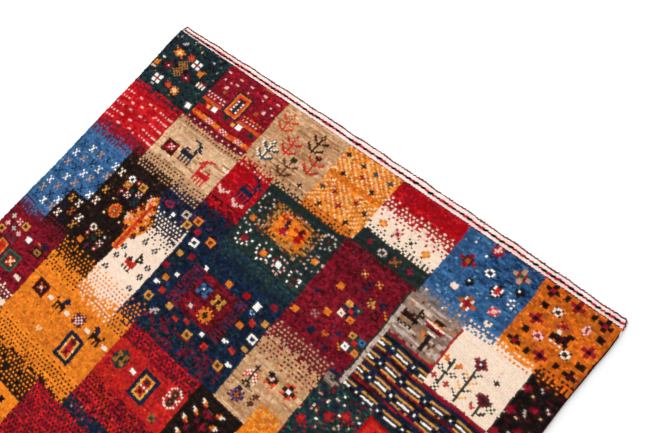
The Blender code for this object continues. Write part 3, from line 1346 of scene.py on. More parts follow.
def medallion_panel(chart, box, ground, shade, rings):
    """A plain panel with one framed medallion in the middle."""
    chart.fill(box, ground)
    chart.streaks(box, shade, 0.3)
    x, down = (box.left + box.right) / 2, (box.top + box.low) / 2
    chart.frames(Box(x - 34, x + 34, down - 38, down + 38), *rings)
    chart.stamp(CORNERED, x, down, rings[1], rings[0], "white")
    chart.stamps(BLOCK, [(x - 50, down), (x + 50, down)], "cream")


def hidden_half(chart):
    """The panels past the photo's edge, finished plainly in the same manner."""
    bright = (
        (CORNERED, ("crimson", "rust", "white")),
        (EYE, ("white", "ochre")),
        (CORNERED, ("rust", "crimson", "white")),
    )
    dark = ((BLOSSOM, ("black", "crimson")), (BLOCK, ("black",)), (BLOSSOM, ("crimson", "maroon")))
    pale = (
        (ROUND_FLOWER, ("crimson", "amber")),
        (FOUR_DOTS, ("navy", "blue_pale")),
        (ROUND_FLOWER, ("teal", "white")),
    )
    small = ((SQUARE_RING, ("orange", "brown")), (BLOCK, ("white",)), (BLOCK, ("brick",)))
    reds = ("navy", "orange", "vermilion", "crimson")
    blacks = ("green_black", "gold", "navy", "ochre")
    golds = ("burgundy", "gold", "navy", "ochre")
    panels = (
        (dark_side, (437, 500, 134, 330)),
        (flower_panel, (437, 500, 330, 452), "blue", "blue_dark", bright),
        (flower_panel, (190, 320, 452, 600), "cream", "cream", pale),
        (gold_lattice, (320, 500, 452, 600)),
        (plain_panel, (137, 190, 500, 640), "gold", "orange"),
        (flower_panel, (190, 350, 600, 745), "navy", "blue_dark", small),
        (goat_panel, (350, 500, 600, 745), "camel", "camel_pale", ("navy", "scarlet")),
        (tree_panel, (-506, -363, 628, 760), "camel", "camel_dark", ("brown_black", "brick", "teal")),
        (flower_panel, (-363, -200, 704, 850), "gold", "orange", dark),
        (flower_panel, (-60, 137, 660, 790), "teal_black", "bottle", small),
        (medallion_panel, (137, 190, 640, 745), "crimson", "burgundy", ("navy", "orange", "crimson")),
        (medallion_panel, (-506, -363, 760, 900), "burgundy", "crimson", golds),
        (medallion_panel, (-200, -20, 790, 930), "blue", "blue_dark", reds),
        (tree_panel, (-20, 137, 790, 930), "cream", "cream", ("green_black", "brick", "teal")),
        (flower_panel, (137, 300, 745, 890), "scarlet", "red", pale),
        (striped_navy, (300, 500, 745, 890)),
        (goat_panel, (-363, -200, 850, 980), "navy", "blue_dark", ("camel_pale", "brick")),
        (dark_side, (-506, -363, 900, 1030)),
        (flower_panel, (137, 320, 890, 1030), "burnt", "rust", dark),
        (tree_panel, (320, 500, 890, 1030), "grey", "grey_pale", ("brown_black", "maroon")),
        (flower_panel, (-200, -20, 930, 1070), "burgundy", "crimson", small),
        (medallion_panel, (-20, 137, 930, 1070), "brick", "scarlet", blacks),
        (gold_lattice, (-363, -200, 980, 1110)),
        (flower_panel, (-506, -363, 1030, 1180), "blue", "blue_pale", bright),
        (medallion_panel, (137, 320, 1030, 1180), "navy", "blue_dark", reds),
        (flower_panel, (320, 500, 1030, 1180), "crimson", "burgundy", pale),
        (striped_navy, (-200, -20, 1070, 1200)),
        (flower_panel, (-20, 137, 1070, 1200), "gold", "orange", dark),
        (flower_panel, (-363, -200, 1110, 1250), "green_black", "bottle", small),
        (tree_panel, (-506, -330, 1180, 1320), "camel", "camel_dark", ("brick", "brown_black", "teal")),
        (goat_panel, (137, 300, 1180, 1320), "camel_pale", "camel", ("navy", "scarlet")),
        (dark_side, (300, 500, 1180, 1320)),
        (flower_panel, (-200, -20, 1200, 1330), "scarlet", "red", pale),
        (flower_panel, (-20, 137, 1200, 1330), "blue", "blue_dark", bright),
        (medallion_panel, (-330, -200, 1250, 1330), "gold", "orange", ("maroon", "gold", "navy")),
        (flower_panel, (-506, -330, 1320, 1452), "burgundy", "crimson", small),
        (tree_panel, (-330, -170, 1330, 1452), "cream", "cream", ("green_black", "brick")),
        (gold_lattice, (-170, -10, 1330, 1452)),
        (flower_panel, (-10, 150, 1330, 1452), "teal_black", "bottle", small),
        (flower_panel, (150, 330, 1320, 1452), "burnt", "rust", dark),
        (goat_panel, (330, 500, 1320, 1452), "scarlet", "red", ("navy", "cream")),
    )
    for panel, sides, *yarns in panels:
        panel(chart, Box(*sides), *yarns)


# The panels in the order of knotting: later ones lie over earlier ones
UPPER_PANELS = (
    hidden_half, navy_sea, teal_corner, crimson_medallion, camel_trees, gold_crosses, red_to_green,
    blue_flowers, burnt_orange_flowers, dotted_red, camel_goats, red_goat, green_medallion,
    navy_medallion, crossed_blue, brown_medallion, saltire_rows, navy_to_cream, navy_squares, leaf,
    burgundy_field, camel_garden, grey_bird, cream_garden,
)
LOWER_PANELS = (
    teal_speckle, gold_field, burgundy_side, butterfly_brown, brick_field,
)


def knotted_chart():
    """The whole chart, panel by panel."""
    chart = Chart(seed=7)
    for panel in UPPER_PANELS:
        panel(chart)
    striped_navy(chart, Box(221, 315, 220, 328))
    striped_navy(chart, Box(315, 437, 248, 328))
    chart.fill(Box(315, 437, 243, 248), "crimson")
    for panel in LOWER_PANELS:
        panel(chart)
    return chart.knots


def to_linear(colour):
    """sRGB out of 255 as linear light."""
    share = np.asarray(colour, float) / 255.0
    return np.where(share <= 0.04045, share / 12.92, ((share + 0.055) / 1.055) ** 2.4)


def smooth_noise(shape, spacing, random):
    """Noise that changes over about spacing steps along each axis."""
    rows, cols = shape
    high, wide = max(2, math.ceil(rows / spacing[0]) + 2), max(2, math.ceil(cols / spacing[1]) + 2)
    coarse = random.normal(size=(high, wide))
    r, c = np.arange(rows) / spacing[0], np.arange(cols) / spacing[1]
    r0, c0 = r.astype(int), c.astype(int)
    fr, fc = (r - r0)[:, None], (c - c0)[None, :]
    fr, fc = fr * fr * (3 - 2 * fr), fc * fc * (3 - 2 * fc)
    top = coarse[np.ix_(r0, c0)] * (1 - fc) + coarse[np.ix_(r0, c0 + 1)] * fc
    low = coarse[np.ix_(r0 + 1, c0)] * (1 - fc) + coarse[np.ix_(r0 + 1, c0 + 1)] * fc
    return top * (1 - fr) + low * fr


def knot_colours(knots):
    """The colour of every knot: its yarn, with the dye's streaks, the spinning's flecks and the pile depth's
    painted shade.
    """
    random = np.random.default_rng(11)
    yarns = [YARNS[name] for name in YARN_NAMES]
    base = to_linear([yarn[:3] for yarn in yarns])[knots]
    streak = np.array([yarn.streak for yarn in yarns])[knots]
    fleck = np.array([yarn.fleck for yarn in yarns])[knots]
    fine = smooth_noise(knots.shape, (1.0, 16.0), random)
    rows = fine + 0.7 * smooth_noise(knots.shape, (4.0, 40.0), random)
    single = random.normal(size=knots.shape)
    light = np.exp(streak * rows + fleck * single)
    tint = 1.0 + 0.3 * fleck[..., None] * random.normal(size=knots.shape + (3,))
    # Painted shade: every knot's colour is darkened by the pile depth's share
    return np.clip(PILE_DEPTH_SHADE * base * light[..., None] * tint, 0.0, 1.0)


def smooth(t):
    """An even ease from 0 to 1."""
    return t * t * (3.0 - 2.0 * t)


def edge_out(y):
    """How far the long sides stand out from straight at each y."""
    from_end = np.clip(PILE_LENGTH / 2 - np.abs(y), 0.0, EDGE[-1].from_end)
    out = np.full(np.shape(from_end), EDGE[-1].out)
    for low, high in zip(EDGE, EDGE[1:]):
        here = (from_end >= low.from_end) & (from_end <= high.from_end)
        t = (from_end - low.from_end) / (high.from_end - low.from_end)
        out = np.where(here, low.out + (high.out - low.out) * smooth(np.clip(t, 0.0, 1.0)), out)
    return out


def half_width(y):
    """Half the width of the pile at y."""
    return HALF_WIDTH + edge_out(y)


def band_width(across):
    """How far the end band reaches past the pile; across runs from -1 to 1 over the width."""
    return BAND_WIDTH + BAND_SLANT * across + BAND_BOW * np.cos(math.pi * across / 2)


def wander(x, y, waves):
    """A slow drift of the weaving, as a sum of waves."""
    return sum(wave.size * np.sin(wave.across * x + wave.along * y + wave.phase) for wave in waves)


class Wave(NamedTuple):
    """A wave of the knots' drift: its size, and its radians for each metre across and along the rug."""

    size: float
    across: float
    along: float
    phase: float


DRIFT_ACROSS = (
    Wave(size=0.0006, across=9.0, along=71.0, phase=0.4),
    Wave(size=0.0005, across=17.0, along=118.0, phase=2.1),
    Wave(size=0.0006, across=5.0, along=33.0, phase=4.0),
)
DRIFT_ALONG = (
    Wave(size=0.0009, across=22.0, along=6.0, phase=1.0),
    Wave(size=0.0007, across=47.0, along=11.0, phase=3.3),
    Wave(size=0.0005, across=96.0, along=19.0, phase=5.2),
)


class Rim(NamedTuple):
    """A ring of points round the last knots: how far out of the pile's edge, and its height."""

    out: float
    height: float


RIMS = (
    Rim(out=0.0009, height=0.0068),
    Rim(out=-0.0020, height=0.0059),
    Rim(out=-0.0036, height=0.0006),
)


def pile_places():
    """The corners of the knots as (rows, columns, xyz), with the rims down the sides."""
    random = np.random.default_rng(3)
    extra = len(RIMS)
    rows = np.clip(np.arange(-extra, KNOTS_ALONG + extra + 1), 0, KNOTS_ALONG)
    cols = np.clip(np.arange(-extra, KNOTS_ACROSS + extra + 1), 0, KNOTS_ACROSS)
    across, along = np.meshgrid(cols / KNOTS_ACROSS * 2 - 1, 1 - rows / KNOTS_ALONG * 2)
    half_length = PILE_LENGTH / 2 + OVER_END
    from_end = half_length * (1 - np.abs(along))
    y = half_length * along + OVER_END_SLANT * across * np.exp(-from_end / 0.03)
    x = across * (half_width(y) + OVER_SIDE)
    inner_x, inner_y = 1 - across ** 8, 1 - along ** 16
    places = np.empty(across.shape + (3,))
    places[..., 0] = x + inner_x * wander(x, y, DRIFT_ACROSS)
    places[..., 1] = y + inner_y * wander(x, y, DRIFT_ALONG)
    places[..., 2] = PILE_TOP - KNOT_RISE
    places[..., :2] += random.normal(scale=CORNER_SCATTER, size=places.shape[:2] + (2,))
    places[..., 2] += random.normal(scale=HEIGHT_SCATTER, size=places.shape[:2])
    roll_off(places, random)
    return places


def roll_off(places, random):
    """Rounds the pile's border and draws its rims down to the backing."""
    extra = len(RIMS)
    last_row, last_col = places.shape[0] - 1, places.shape[1] - 1
    for step in range(extra + len(ROLL_DROPS)):
        sides = ((step, 0, 1), (last_row - step, 0, -1), (step, 1, -1), (last_col - step, 1, 1))
        for at, axis, sign in sides:
            line = places[at] if axis == 0 else places[:, at]
            if step >= extra:
                top = PILE_TOP - ROLL_DROPS[step - extra]
                line[:, 2] = np.minimum(line[:, 2], top + random.normal(scale=0.0002, size=len(line)))
                continue
            rim = RIMS[extra - 1 - step]
            ragged = random.normal(scale=0.0004, size=len(line))
            line[:, 1 - axis] += sign * (rim.out + ragged)
            line[:, 2] = np.minimum(line[:, 2], rim.height + 0.3 * ragged)


def knot_shades(knots):
    """A colour for each corner of the four faces of every knot, so that neighbours mix a little."""
    random = np.random.default_rng(17)
    extra = len(RIMS) + 1
    full = np.pad(knot_colours(knots), ((extra, extra), (extra, extra), (0, 0)), mode="edge")
    own = full[1:-1, 1:-1]
    corners = (full[:-1, :-1] + full[:-1, 1:] + full[1:, :-1] + full[1:, 1:]) / 4
    a, b = corners[:-1, :-1], corners[:-1, 1:]
    c, d = corners[1:, 1:], corners[1:, :-1]
    beside = (full[:-2, 1:-1], full[1:-1, 2:], full[2:, 1:-1], full[1:-1, :-2])
    shades = []
    for first, second, other in zip((b, c, d, a), (a, b, c, d), beside):
        strays = random.random(own.shape[:2] + (1,)) < STRAY_FIBRES
        base = np.where(strays, other, own)
        mixed = [base * (1 - KNOT_MIX) + edge * KNOT_MIX for edge in (first, second)]
        shades.append(np.stack(mixed + [base], 2))
    return np.stack(shades, 2)


def strip_mesh(name, places, shades, first, last):
    """The pile from one column of knots to another: each knot is four faces up to its middle."""
    random = np.random.default_rng(first)
    part = places[:, first:last + 1]
    high, wide = part.shape[0] - 1, part.shape[1] - 1
    middles = (part[:-1, :-1] + part[1:, :-1] + part[:-1, 1:] + part[1:, 1:]) / 4
    inside = middles[..., 2] > PILE_TOP - 0.004
    lift = KNOT_RISE + random.normal(scale=RISE_SCATTER, size=inside.shape)
    middles[..., 2] += np.where(inside, lift, 0.0)
    middles[..., :2] += random.normal(scale=MIDDLE_SCATTER, size=middles.shape[:2] + (2,)) * inside[..., None]
    corner = np.arange((high + 1) * (wide + 1)).reshape(high + 1, wide + 1)
    middle = corner.size + np.arange(high * wide).reshape(high, wide)
    a, b = corner[:-1, :-1], corner[:-1, 1:]
    c, d = corner[1:, 1:], corner[1:, :-1]
    sides = ((b, a, middle), (c, b, middle), (d, c, middle), (a, d, middle))
    faces = np.stack([np.stack(side, -1) for side in sides], 2)
    points = np.concatenate([part.reshape(-1, 3), middles.reshape(-1, 3)])
    mesh = triangle_mesh(name, points, faces.reshape(-1, 3))
    set_colours(mesh, shades[:, first:last].reshape(-1, 3))
    grid_row, grid_col = np.mgrid[0:high + 1, 0:wide + 1].astype(float)
    edges = np.stack([grid_col.ravel(), grid_row.ravel()], -1)
    insides = np.stack([grid_col[:-1, :-1].ravel(), grid_row[:-1, :-1].ravel()], -1) + 0.5
    spots = np.concatenate([edges, insides])
    set_map(mesh, "OFBake", spots / (wide, high) * (1, -1) + (0, 1))
    set_map(mesh, "Knots", spots)
    return mesh


def grid_faces(corner):
    """Two triangles for each square of a grid of point numbers."""
    a, b = corner[:-1, :-1], corner[:-1, 1:]
    c, d = corner[1:, 1:], corner[1:, :-1]
    return np.stack([np.stack((a, b, c), -1), np.stack((a, c, d), -1)], 2).reshape(-1, 3)


def closed(ring):
    """A grid of point numbers with its first column repeated at the end."""
    return np.concatenate([ring, ring[:, :1]], axis=1)


def triangle_mesh(name, points, triangles):
    """A smooth-shaded mesh of triangles."""
    mesh = bpy.data.meshes.new(name)
    mesh.vertices.add(len(points))
    mesh.vertices.foreach_set("co", np.ascontiguousarray(points, np.float32).ravel())
    mesh.loops.add(triangles.size)
    mesh.loops.foreach_set("vertex_index", np.ascontiguousarray(triangles, np.int32).ravel())
    mesh.polygons.add(len(triangles))
    mesh.polygons.foreach_set("loop_start", np.arange(0, triangles.size, 3, dtype=np.int32))
    mesh.update(calc_edges=True)
    mesh.shade_smooth()
    return mesh


def set_colours(mesh, colours):
    """Stores a colour on each corner of each face."""
    layer = mesh.color_attributes.new("Yarn", "FLOAT_COLOR", "CORNER")
    full = np.ones((len(colours), 4), np.float32)
    full[:, :3] = colours
    layer.data.foreach_set("color", full.ravel())


def set_map(mesh, name, spots):
    """A UV map from a place for each point."""
    corners = np.empty(len(mesh.loops), np.int32)
    mesh.loops.foreach_get("vertex_index", corners)
    layer = mesh.uv_layers.new(name=name)
    layer.data.foreach_set("uv", np.ascontiguousarray(spots[corners], np.float32).ravel())


def add_piece(name, mesh, material, node):
    """Adds a mesh as a piece that stands for a CAD node."""
    piece = bpy.data.objects.new(name, mesh)
    bpy.context.collection.objects.link(piece)
    piece.data.materials.append(material)
    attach(piece, "root")
    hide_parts(node)
    return piece


def new_material(name, roughness):
    """A matt Principled material, its tree and its shader."""
    material = bpy.data.materials.new(name)
    material.use_nodes = True
    tree = material.node_tree
    shader = tree.nodes["Principled BSDF"]
    shader.inputs["Roughness"].default_value = roughness
    shader.inputs["Sheen Weight"].default_value = 0.0
    shader.inputs["Sheen Roughness"].default_value = 0.6
    shader.inputs["Specular IOR Level"].default_value = 0.05
    return material, tree, shader


def math_node(tree, operation, *values):
    """A math node fed by sockets or numbers."""
    node = tree.nodes.new("ShaderNodeMath")
    node.operation = operation
    for socket, value in zip(node.inputs, values):
        if isinstance(value, (int, float)):
            socket.default_value = value
        else:
            tree.links.new(value, socket)
    return node.outputs[0]


def noise_node(tree, scale, detail, vector=None):
    node = tree.nodes.new("ShaderNodeTexNoise")
    node.inputs["Scale"].default_value = scale
    node.inputs["Detail"].default_value = detail
    if vector is not None:
        tree.links.new(vector, node.inputs["Vector"])
    return node.outputs["Fac"]


def scaled_position(tree, scale):
    """Object coordinates stretched by scale."""
    place = tree.nodes.new("ShaderNodeTexCoord")
    mapping = tree.nodes.new("ShaderNodeMapping")
    mapping.inputs["Scale"].default_value = scale
    tree.links.new(place.outputs["Object"], mapping.inputs["Vector"])
    return mapping.outputs["Vector"]


def scale_colour(tree, colour, factor):
    """A colour multiplied by a number's socket."""
    node = tree.nodes.new("ShaderNodeVectorMath")
    node.operation = "SCALE"
    tree.links.new(colour, node.inputs[0])
    tree.links.new(factor, node.inputs["Scale"])
    return node.outputs[0]


def add_bump(tree, shader, height, distance, strength):
    bump = tree.nodes.new("ShaderNodeBump")
    bump.inputs["Strength"].default_value = strength
    bump.inputs["Distance"].default_value = distance
    tree.links.new(height, bump.inputs["Height"])
    tree.links.new(bump.outputs["Normal"], shader.inputs["Normal"])


def yarn_colour(tree):
    node = tree.nodes.new("ShaderNodeAttribute")
    node.attribute_name = "Yarn"
    return node.outputs["Color"]


def knot_dome(tree):
    """Height over each knot, from 0 in the gaps to 1 at its middle."""
    spot = tree.nodes.new("ShaderNodeUVMap")
    spot.uv_map = "Knots"
    split = tree.nodes.new("ShaderNodeSeparateXYZ")
    tree.links.new(spot.outputs["UV"], split.inputs[0])
    waves = []
    for axis in ("X", "Y"):
        turned = math_node(tree, "SINE", math_node(tree, "MULTIPLY", split.outputs[axis], math.pi))
        waves.append(math_node(tree, "ABSOLUTE", turned))
    product = math_node(tree, "MULTIPLY", *waves)
    return math_node(tree, "POWER", product, 0.5)


def pile_wool():
    """Short wool pile: knots with painted shade in the gaps between them, and cut fibre ends."""
    material, tree, shader = new_material("pile_wool", 0.95)
    dome = knot_dome(tree)
    fibres = noise_node(tree, 1.0, 3.0, scaled_position(tree, (1400.0, 700.0, 1400.0)))
    tufts = noise_node(tree, 1.0, 2.0, scaled_position(tree, (430.0, 300.0, 430.0)))
    # Painted shade: the knot's colour is darker in the gaps between knots
    gap = math_node(tree, "MULTIPLY_ADD", dome, 0.12, 0.93)
    grain = math_node(tree, "MULTIPLY_ADD", fibres, 0.60, 0.72)
    clump = math_node(tree, "MULTIPLY_ADD", tufts, 0.50, 0.77)
    shade = math_node(tree, "MULTIPLY", math_node(tree, "MULTIPLY", gap, grain), clump)
    tree.links.new(scale_colour(tree, yarn_colour(tree), shade), shader.inputs["Base Color"])
    height = math_node(tree, "ADD", dome, math_node(tree, "MULTIPLY", fibres, 0.8))
    add_bump(tree, shader, height, 0.0010, 0.5)
    return material


def backing_wool():
    """The knots' backs: flat nodes in rows, with the wefts between, and painted shade in the gaps between the
    nodes.
    """
    material, tree, shader = new_material("backing_wool", 0.92)
    dome = knot_dome(tree)
    fibres = noise_node(tree, 1.0, 3.0, scaled_position(tree, (900.0, 2200.0, 900.0)))
    # Painted shade: the knot's colour is darker in the gaps between the nodes
    gap = math_node(tree, "MULTIPLY_ADD", dome, 0.35, 0.55)
    grain = math_node(tree, "MULTIPLY_ADD", fibres, 0.4, 0.8)
    shade = math_node(tree, "MULTIPLY", gap, grain)
    tree.links.new(scale_colour(tree, yarn_colour(tree), shade), shader.inputs["Base Color"])
    add_bump(tree, shader, dome, 0.0008, 0.5)
    return material


def band_weave():
    """Weft-faced plain weave in undyed wool, a little pink where the red yarn has bled."""
    material, tree, shader = new_material("band_weave", 0.92)
    ribs = noise_node(tree, 1.0, 2.0, scaled_position(tree, (90.0, 900.0, 300.0)))
    stain = noise_node(tree, 1.0, 2.0, scaled_position(tree, (26.0, 40.0, 40.0)))
    wave = tree.nodes.new("ShaderNodeTexWave")
    wave.inputs["Scale"].default_value = 1.0
    wave.inputs["Distortion"].default_value = 1.5
    tree.links.new(scaled_position(tree, (160.0, 12.0, 1.0)), wave.inputs["Vector"])
    ramp = tree.nodes.new("ShaderNodeValToRGB")
    ramp.color_ramp.elements[0].position = 0.42
    ramp.color_ramp.elements[0].color = (*to_linear((252, 238, 228)), 1.0)
    ramp.color_ramp.elements[1].position = 0.75
    ramp.color_ramp.elements[1].color = (*to_linear((246, 204, 196)), 1.0)
    tree.links.new(stain, ramp.inputs["Fac"])
    shade = math_node(tree, "MULTIPLY_ADD", ribs, 0.35, 0.82)
    tree.links.new(scale_colour(tree, ramp.outputs["Color"], shade), shader.inputs["Base Color"])
    height = math_node(tree, "ADD", ribs, math_node(tree, "MULTIPLY", wave.outputs["Fac"], 0.5))
    add_bump(tree, shader, height, 0.0008, 0.7)
    return material


def twine_wool(name, roughness):
    """Plied yarn: its stored colour with fine fibres along it."""
    material, tree, shader = new_material(name, roughness)
    fibres = noise_node(tree, 1.0, 3.0, scaled_position(tree, (700.0, 2200.0, 2200.0)))
    shade = math_node(tree, "MULTIPLY_ADD", fibres, 0.7, 0.62)
    tree.links.new(scale_colour(tree, yarn_colour(tree), shade), shader.inputs["Base Color"])
    add_bump(tree, shader, fibres, 0.0006, 0.6)
    return material


def make_pile(knots):
    """The knotted pile in lengthwise strips."""
    places = pile_places()
    shades = knot_shades(knots)
    ends = np.linspace(0, shades.shape[1], STRIPS + 1).astype(int)
    material = pile_wool()
    for number, (first, last) in enumerate(zip(ends, ends[1:]), 1):
        name = f"pile_{number}"
        piece = add_piece(name, strip_mesh(name, places, shades, first, last), material, "rug")


def make_backing(name, knots, first, last):
    """Half of the rug's underside, where the same knots show as flat nodes."""
    rows, cols = np.arange(KNOTS_ALONG + 1), np.arange(first, last + 1)
    across, along = np.meshgrid(cols / KNOTS_ACROSS * 2 - 1, 1 - rows / KNOTS_ALONG * 2)
    y = along * PILE_LENGTH / 2
    points = np.stack([across * (half_width(y) - BACKING_INSET), y, np.full(y.shape, BACKING_HEIGHT)], -1)
    corner = np.arange(points.shape[0] * points.shape[1]).reshape(points.shape[:2])
    mesh = triangle_mesh(name, points.reshape(-1, 3), grid_faces(corner))
    shown = knot_colours(knots)[:, first:last].reshape(-1, 3)
    set_colours(mesh, np.repeat(shown, 6, axis=0))
    spots = np.stack(np.meshgrid(cols, rows), -1).reshape(-1, 2).astype(float)
    set_map(mesh, "OFBake", (spots - (first, 0)) / (last - first, KNOTS_ALONG))
    set_map(mesh, "Knots", spots)
    piece = add_piece(name, mesh, backing_wool(), "rug")


def band_place(across, share, end_sign):
    """A place on the end band: across from -1 to 1, share from the pile to the outer edge."""
    end = PILE_LENGTH / 2
    rounding = 1.0 - np.sqrt(np.clip(1.0 - share ** 2, 0.0, 1.0))
    x = across * (half_width(end) + BAND_OVER - BAND_CORNER * rounding * np.abs(across) ** 6)
    ripple = 0.0006 * np.sin(31.0 * across + 2.0) + 0.0004 * np.sin(67.0 * across)
    y = end + share * (band_width(across * end_sign) + ripple)
    return x, y * end_sign


def make_band(name, end_sign, material):
    """The flatwoven band past the pile at one end."""
    across, share = np.meshgrid(np.linspace(-1, 1, 361), np.linspace(-0.25, 1.0, 15))
    x, y = band_place(across, np.maximum(share, 0.0), end_sign)
    y = np.where(share < 0, end_sign * (PILE_LENGTH / 2 + BAND_UNDER_PILE * share), y)
    random = np.random.default_rng(5)
    height = BAND_TOP + 0.0003 * np.sin(90.0 * across) + random.normal(scale=0.00008, size=x.shape)
    height -= BAND_HEM_DROP * (share > 0.97)
    height += BAND_UNDER_RISE * (share < 0.0)
    points = np.stack([x, y, height], -1)
    corner = np.arange(x.size).reshape(x.shape)
    faces = grid_faces(corner)
    if end_sign < 0:
        faces = faces[:, ::-1]
    mesh = triangle_mesh(name, points.reshape(-1, 3), faces)
    piece = add_piece(name, mesh, material, "rug")
    thickness = piece.modifiers.new("thickness", "SOLIDIFY")
    thickness.thickness = BAND_THICKNESS
    thickness.offset = -1.0
    return piece


class Twine(NamedTuple):
    """A twined line on the end band: its share of the band's width, its stitches and its colours."""

    name: str
    share: float
    slant: float
    stitch: float
    radius: float
    red: tuple
    dark: tuple
    turns_corner: bool


TWINES = (
    Twine("inner", 0.19, 0.13, 0.0062, 0.0011, red=(176, 60, 66), dark=(84, 46, 46), turns_corner=False),
    Twine("main", 0.55, 0.08, 0.0082, 0.0020, red=(184, 34, 62), dark=(30, 20, 20), turns_corner=False),
    Twine("outer", 0.96, 0.00, 0.0066, 0.0011, red=(150, 54, 60), dark=(66, 40, 38), turns_corner=True),
)


def twine_line(twine, end_sign):
    """The twined line's path as points a stitch apart, and the way it runs at each."""
    across = np.linspace(-1, 1, 801)
    share = twine.share + twine.slant * across * end_sign
    if twine.turns_corner:
        down = np.linspace(0.0, twine.share, 40, endpoint=False)
        across = np.concatenate([np.full(40, -1.0), across, np.full(40, 1.0)])
        share = np.concatenate([down, share, down[::-1]])
    x, y = band_place(across, share, end_sign)
    gone = np.concatenate([[0.0], np.cumsum(np.hypot(np.diff(x), np.diff(y)))])
    stations = np.arange(twine.stitch * 0.8, gone[-1] - twine.stitch * 0.6, twine.stitch)
    ahead = stations + 0.001
    x0, y0 = np.interp(stations, gone, x), np.interp(stations, gone, y)
    way = np.arctan2(np.interp(ahead, gone, y) - y0, np.interp(ahead, gone, x) - x0)
    return x0, y0, way


def stitch_shape(twine):
    """One stitch: a spindle of yarn along x, as points and triangles."""
    around, along = 10, 7
    u = np.linspace(0, 2 * math.pi, around, endpoint=False)
    v = np.linspace(-1, 1, along)
    taper = np.sqrt(np.clip(1 - np.abs(v) ** 2.4, 0.03, 1))[:, None]
    length = np.repeat(v[:, None], around, 1) * twine.stitch * 0.66
    width = taper * np.cos(u) * twine.radius
    height = taper * np.sin(u) * twine.radius * 0.9
    ring = np.arange(around * along).reshape(along, around)
    return np.stack([length, width, height], -1).reshape(-1, 3), grid_faces(closed(ring))


def make_twine(twine, end_name, end_sign, material):
    """A two-colour twined line: slanting stitches that lie half over each other."""
    shape, one = stitch_shape(twine)
    random = np.random.default_rng(int(twine.share * 100) + (7 if end_sign > 0 else 8))
    points, faces, colours = [], [], []
    for k, (x, y, way) in enumerate(zip(*twine_line(twine, end_sign))):
        turn = way + math.radians(14 + 5 * random.normal()) * end_sign
        body = shape * (1 + 0.12 * random.normal())
        px = body[:, 0] * math.cos(turn) - body[:, 1] * math.sin(turn)
        py = body[:, 0] * math.sin(turn) + body[:, 1] * math.cos(turn)
        z = BAND_TOP + 0.35 * twine.radius + body[:, 2]
        points.append(np.stack([x + px, y + py, z], -1))
        faces.append(one + k * len(shape))
        light = to_linear(twine.red if k % 2 else twine.dark) * math.exp(0.16 * random.normal())
        colours.append(np.tile(light, (one.size, 1)))
    name = f"twine_{twine.name}_{end_name}"
    mesh = triangle_mesh(name, np.concatenate(points), np.concatenate(faces))
    set_colours(mesh, np.clip(np.concatenate(colours), 0, 1))
    return add_piece(name, mesh, material, "rug")


def make_selvedge(name, side, material):
    """The overcast side cord: yarn wrapped round and round the outer warps."""
    around, per_wrap = 12, 3
    limit = PILE_LENGTH / 2 - CORD_SHORT_OF_END
    count = int(2 * limit / WRAP_PITCH) * per_wrap
    along = np.linspace(-limit, limit, count + 1)
    u = np.linspace(0, 2 * math.pi, around, endpoint=False)
    y, turn = np.meshgrid(along, u, indexing="ij")
    lean = WRAP_LEAN * np.cos(turn)
    bulge = np.abs(np.sin(math.pi * (y + lean) / WRAP_PITCH))
    end = np.clip((limit - np.abs(y)) / 0.004, 0.35, 1.0)
    radius = (CORD_RADIUS - 0.0004 + WRAP_BULGE * bulge) * np.sqrt(end)
    x = side * (half_width(y) + CORD_GAP + CORD_RADIUS) + radius * np.cos(turn)
    points = np.stack([x, y, CORD_RADIUS + 0.0001 + radius * np.sin(turn)], -1)
    ring = np.arange(points.shape[0] * around).reshape(-1, around)
    faces = grid_faces(closed(ring))[:, [0, 2, 1]]
    random = np.random.default_rng(21 if side > 0 else 22)
    wraps = to_linear((62, 20, 26)) * np.exp(0.22 * random.normal(size=(count // per_wrap + 2, 1)))
    per_ring = wraps[np.arange(count) // per_wrap]
    mesh = triangle_mesh(name + "_wraps", points.reshape(-1, 3), faces)
    set_colours(mesh, np.clip(np.repeat(per_ring, around * 6, axis=0), 0, 1))
    add_piece(name + "_wraps", mesh, material, name)


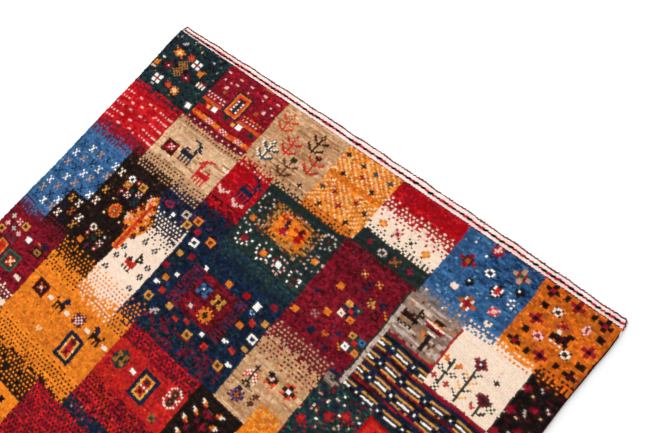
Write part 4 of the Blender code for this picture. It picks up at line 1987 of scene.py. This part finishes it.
def make_floor():
    """A plain pale floor under the rug."""
    bpy.ops.mesh.primitive_plane_add(size=9.0, location=(0, 0, -0.0002))
    floor = bpy.context.object
    floor.name = "floor"
    material, _, shader = new_material("floor_white", 0.9)
    shader.inputs["Base Color"].default_value = (0.93, 0.93, 0.93, 1.0)
    floor.data.materials.append(material)


def make_lights():
    """Plain soft studio light from above."""
    world = bpy.data.worlds.new("studio")
    bpy.context.scene.world = world
    world.use_nodes = True
    world.node_tree.nodes["Background"].inputs["Color"].default_value = (1.0, 1.0, 1.0, 1.0)
    world.node_tree.nodes["Background"].inputs["Strength"].default_value = 0.88
    light = bpy.data.lights.new("softbox", "AREA")
    light.shape = "RECTANGLE"
    light.size, light.size_y = 2.2, 2.2
    light.energy = 36.0
    lamp = bpy.data.objects.new("softbox", light)
    bpy.context.collection.objects.link(lamp)
    lamp.location = (-1.2, 1.6, 2.4)
    aim = Vector((0.0, 0.4, 0.0)) - lamp.location
    lamp.rotation_euler = aim.to_track_quat("-Z", "Y").to_euler()


def make_camera():
    """The camera at the photo's place: over the right-hand side, looking across the shown end."""
    data = bpy.data.cameras.new("camera")
    data.sensor_width = 36.0
    data.lens = 45.896
    data.clip_start = 0.05
    camera = bpy.data.objects.new("camera", data)
    bpy.context.collection.objects.link(camera)
    camera.location = (0.6048, 0.3676, 1.2834)
    camera.rotation_euler = (0.40957, 0.22525, 0.72777)
    bpy.context.scene.camera = camera


def main():
    bpy.context.scene.view_settings.view_transform = "Standard"
    make_camera()
    make_lights()
    make_floor()
    knots = knotted_chart()
    middle = KNOTS_ACROSS // 2
    make_backing("backing_left", knots, 0, middle)
    make_backing("backing_right", knots, middle, KNOTS_ACROSS)
    make_pile(knots)
    weave = band_weave()
    twine = twine_wool("twine_wool", 0.85)
    for end_name, end_sign in (("far", 1), ("near", -1)):
        lines = [make_twine(row, end_name, end_sign, twine) for row in TWINES]
        band = make_band(f"band_{end_name}", end_sign, weave)
    wrap = twine_wool("wrap_wool", 0.88)
    make_selvedge("selvedge_left", -1, wrap)
    make_selvedge("selvedge_right", 1, wrap)


main()
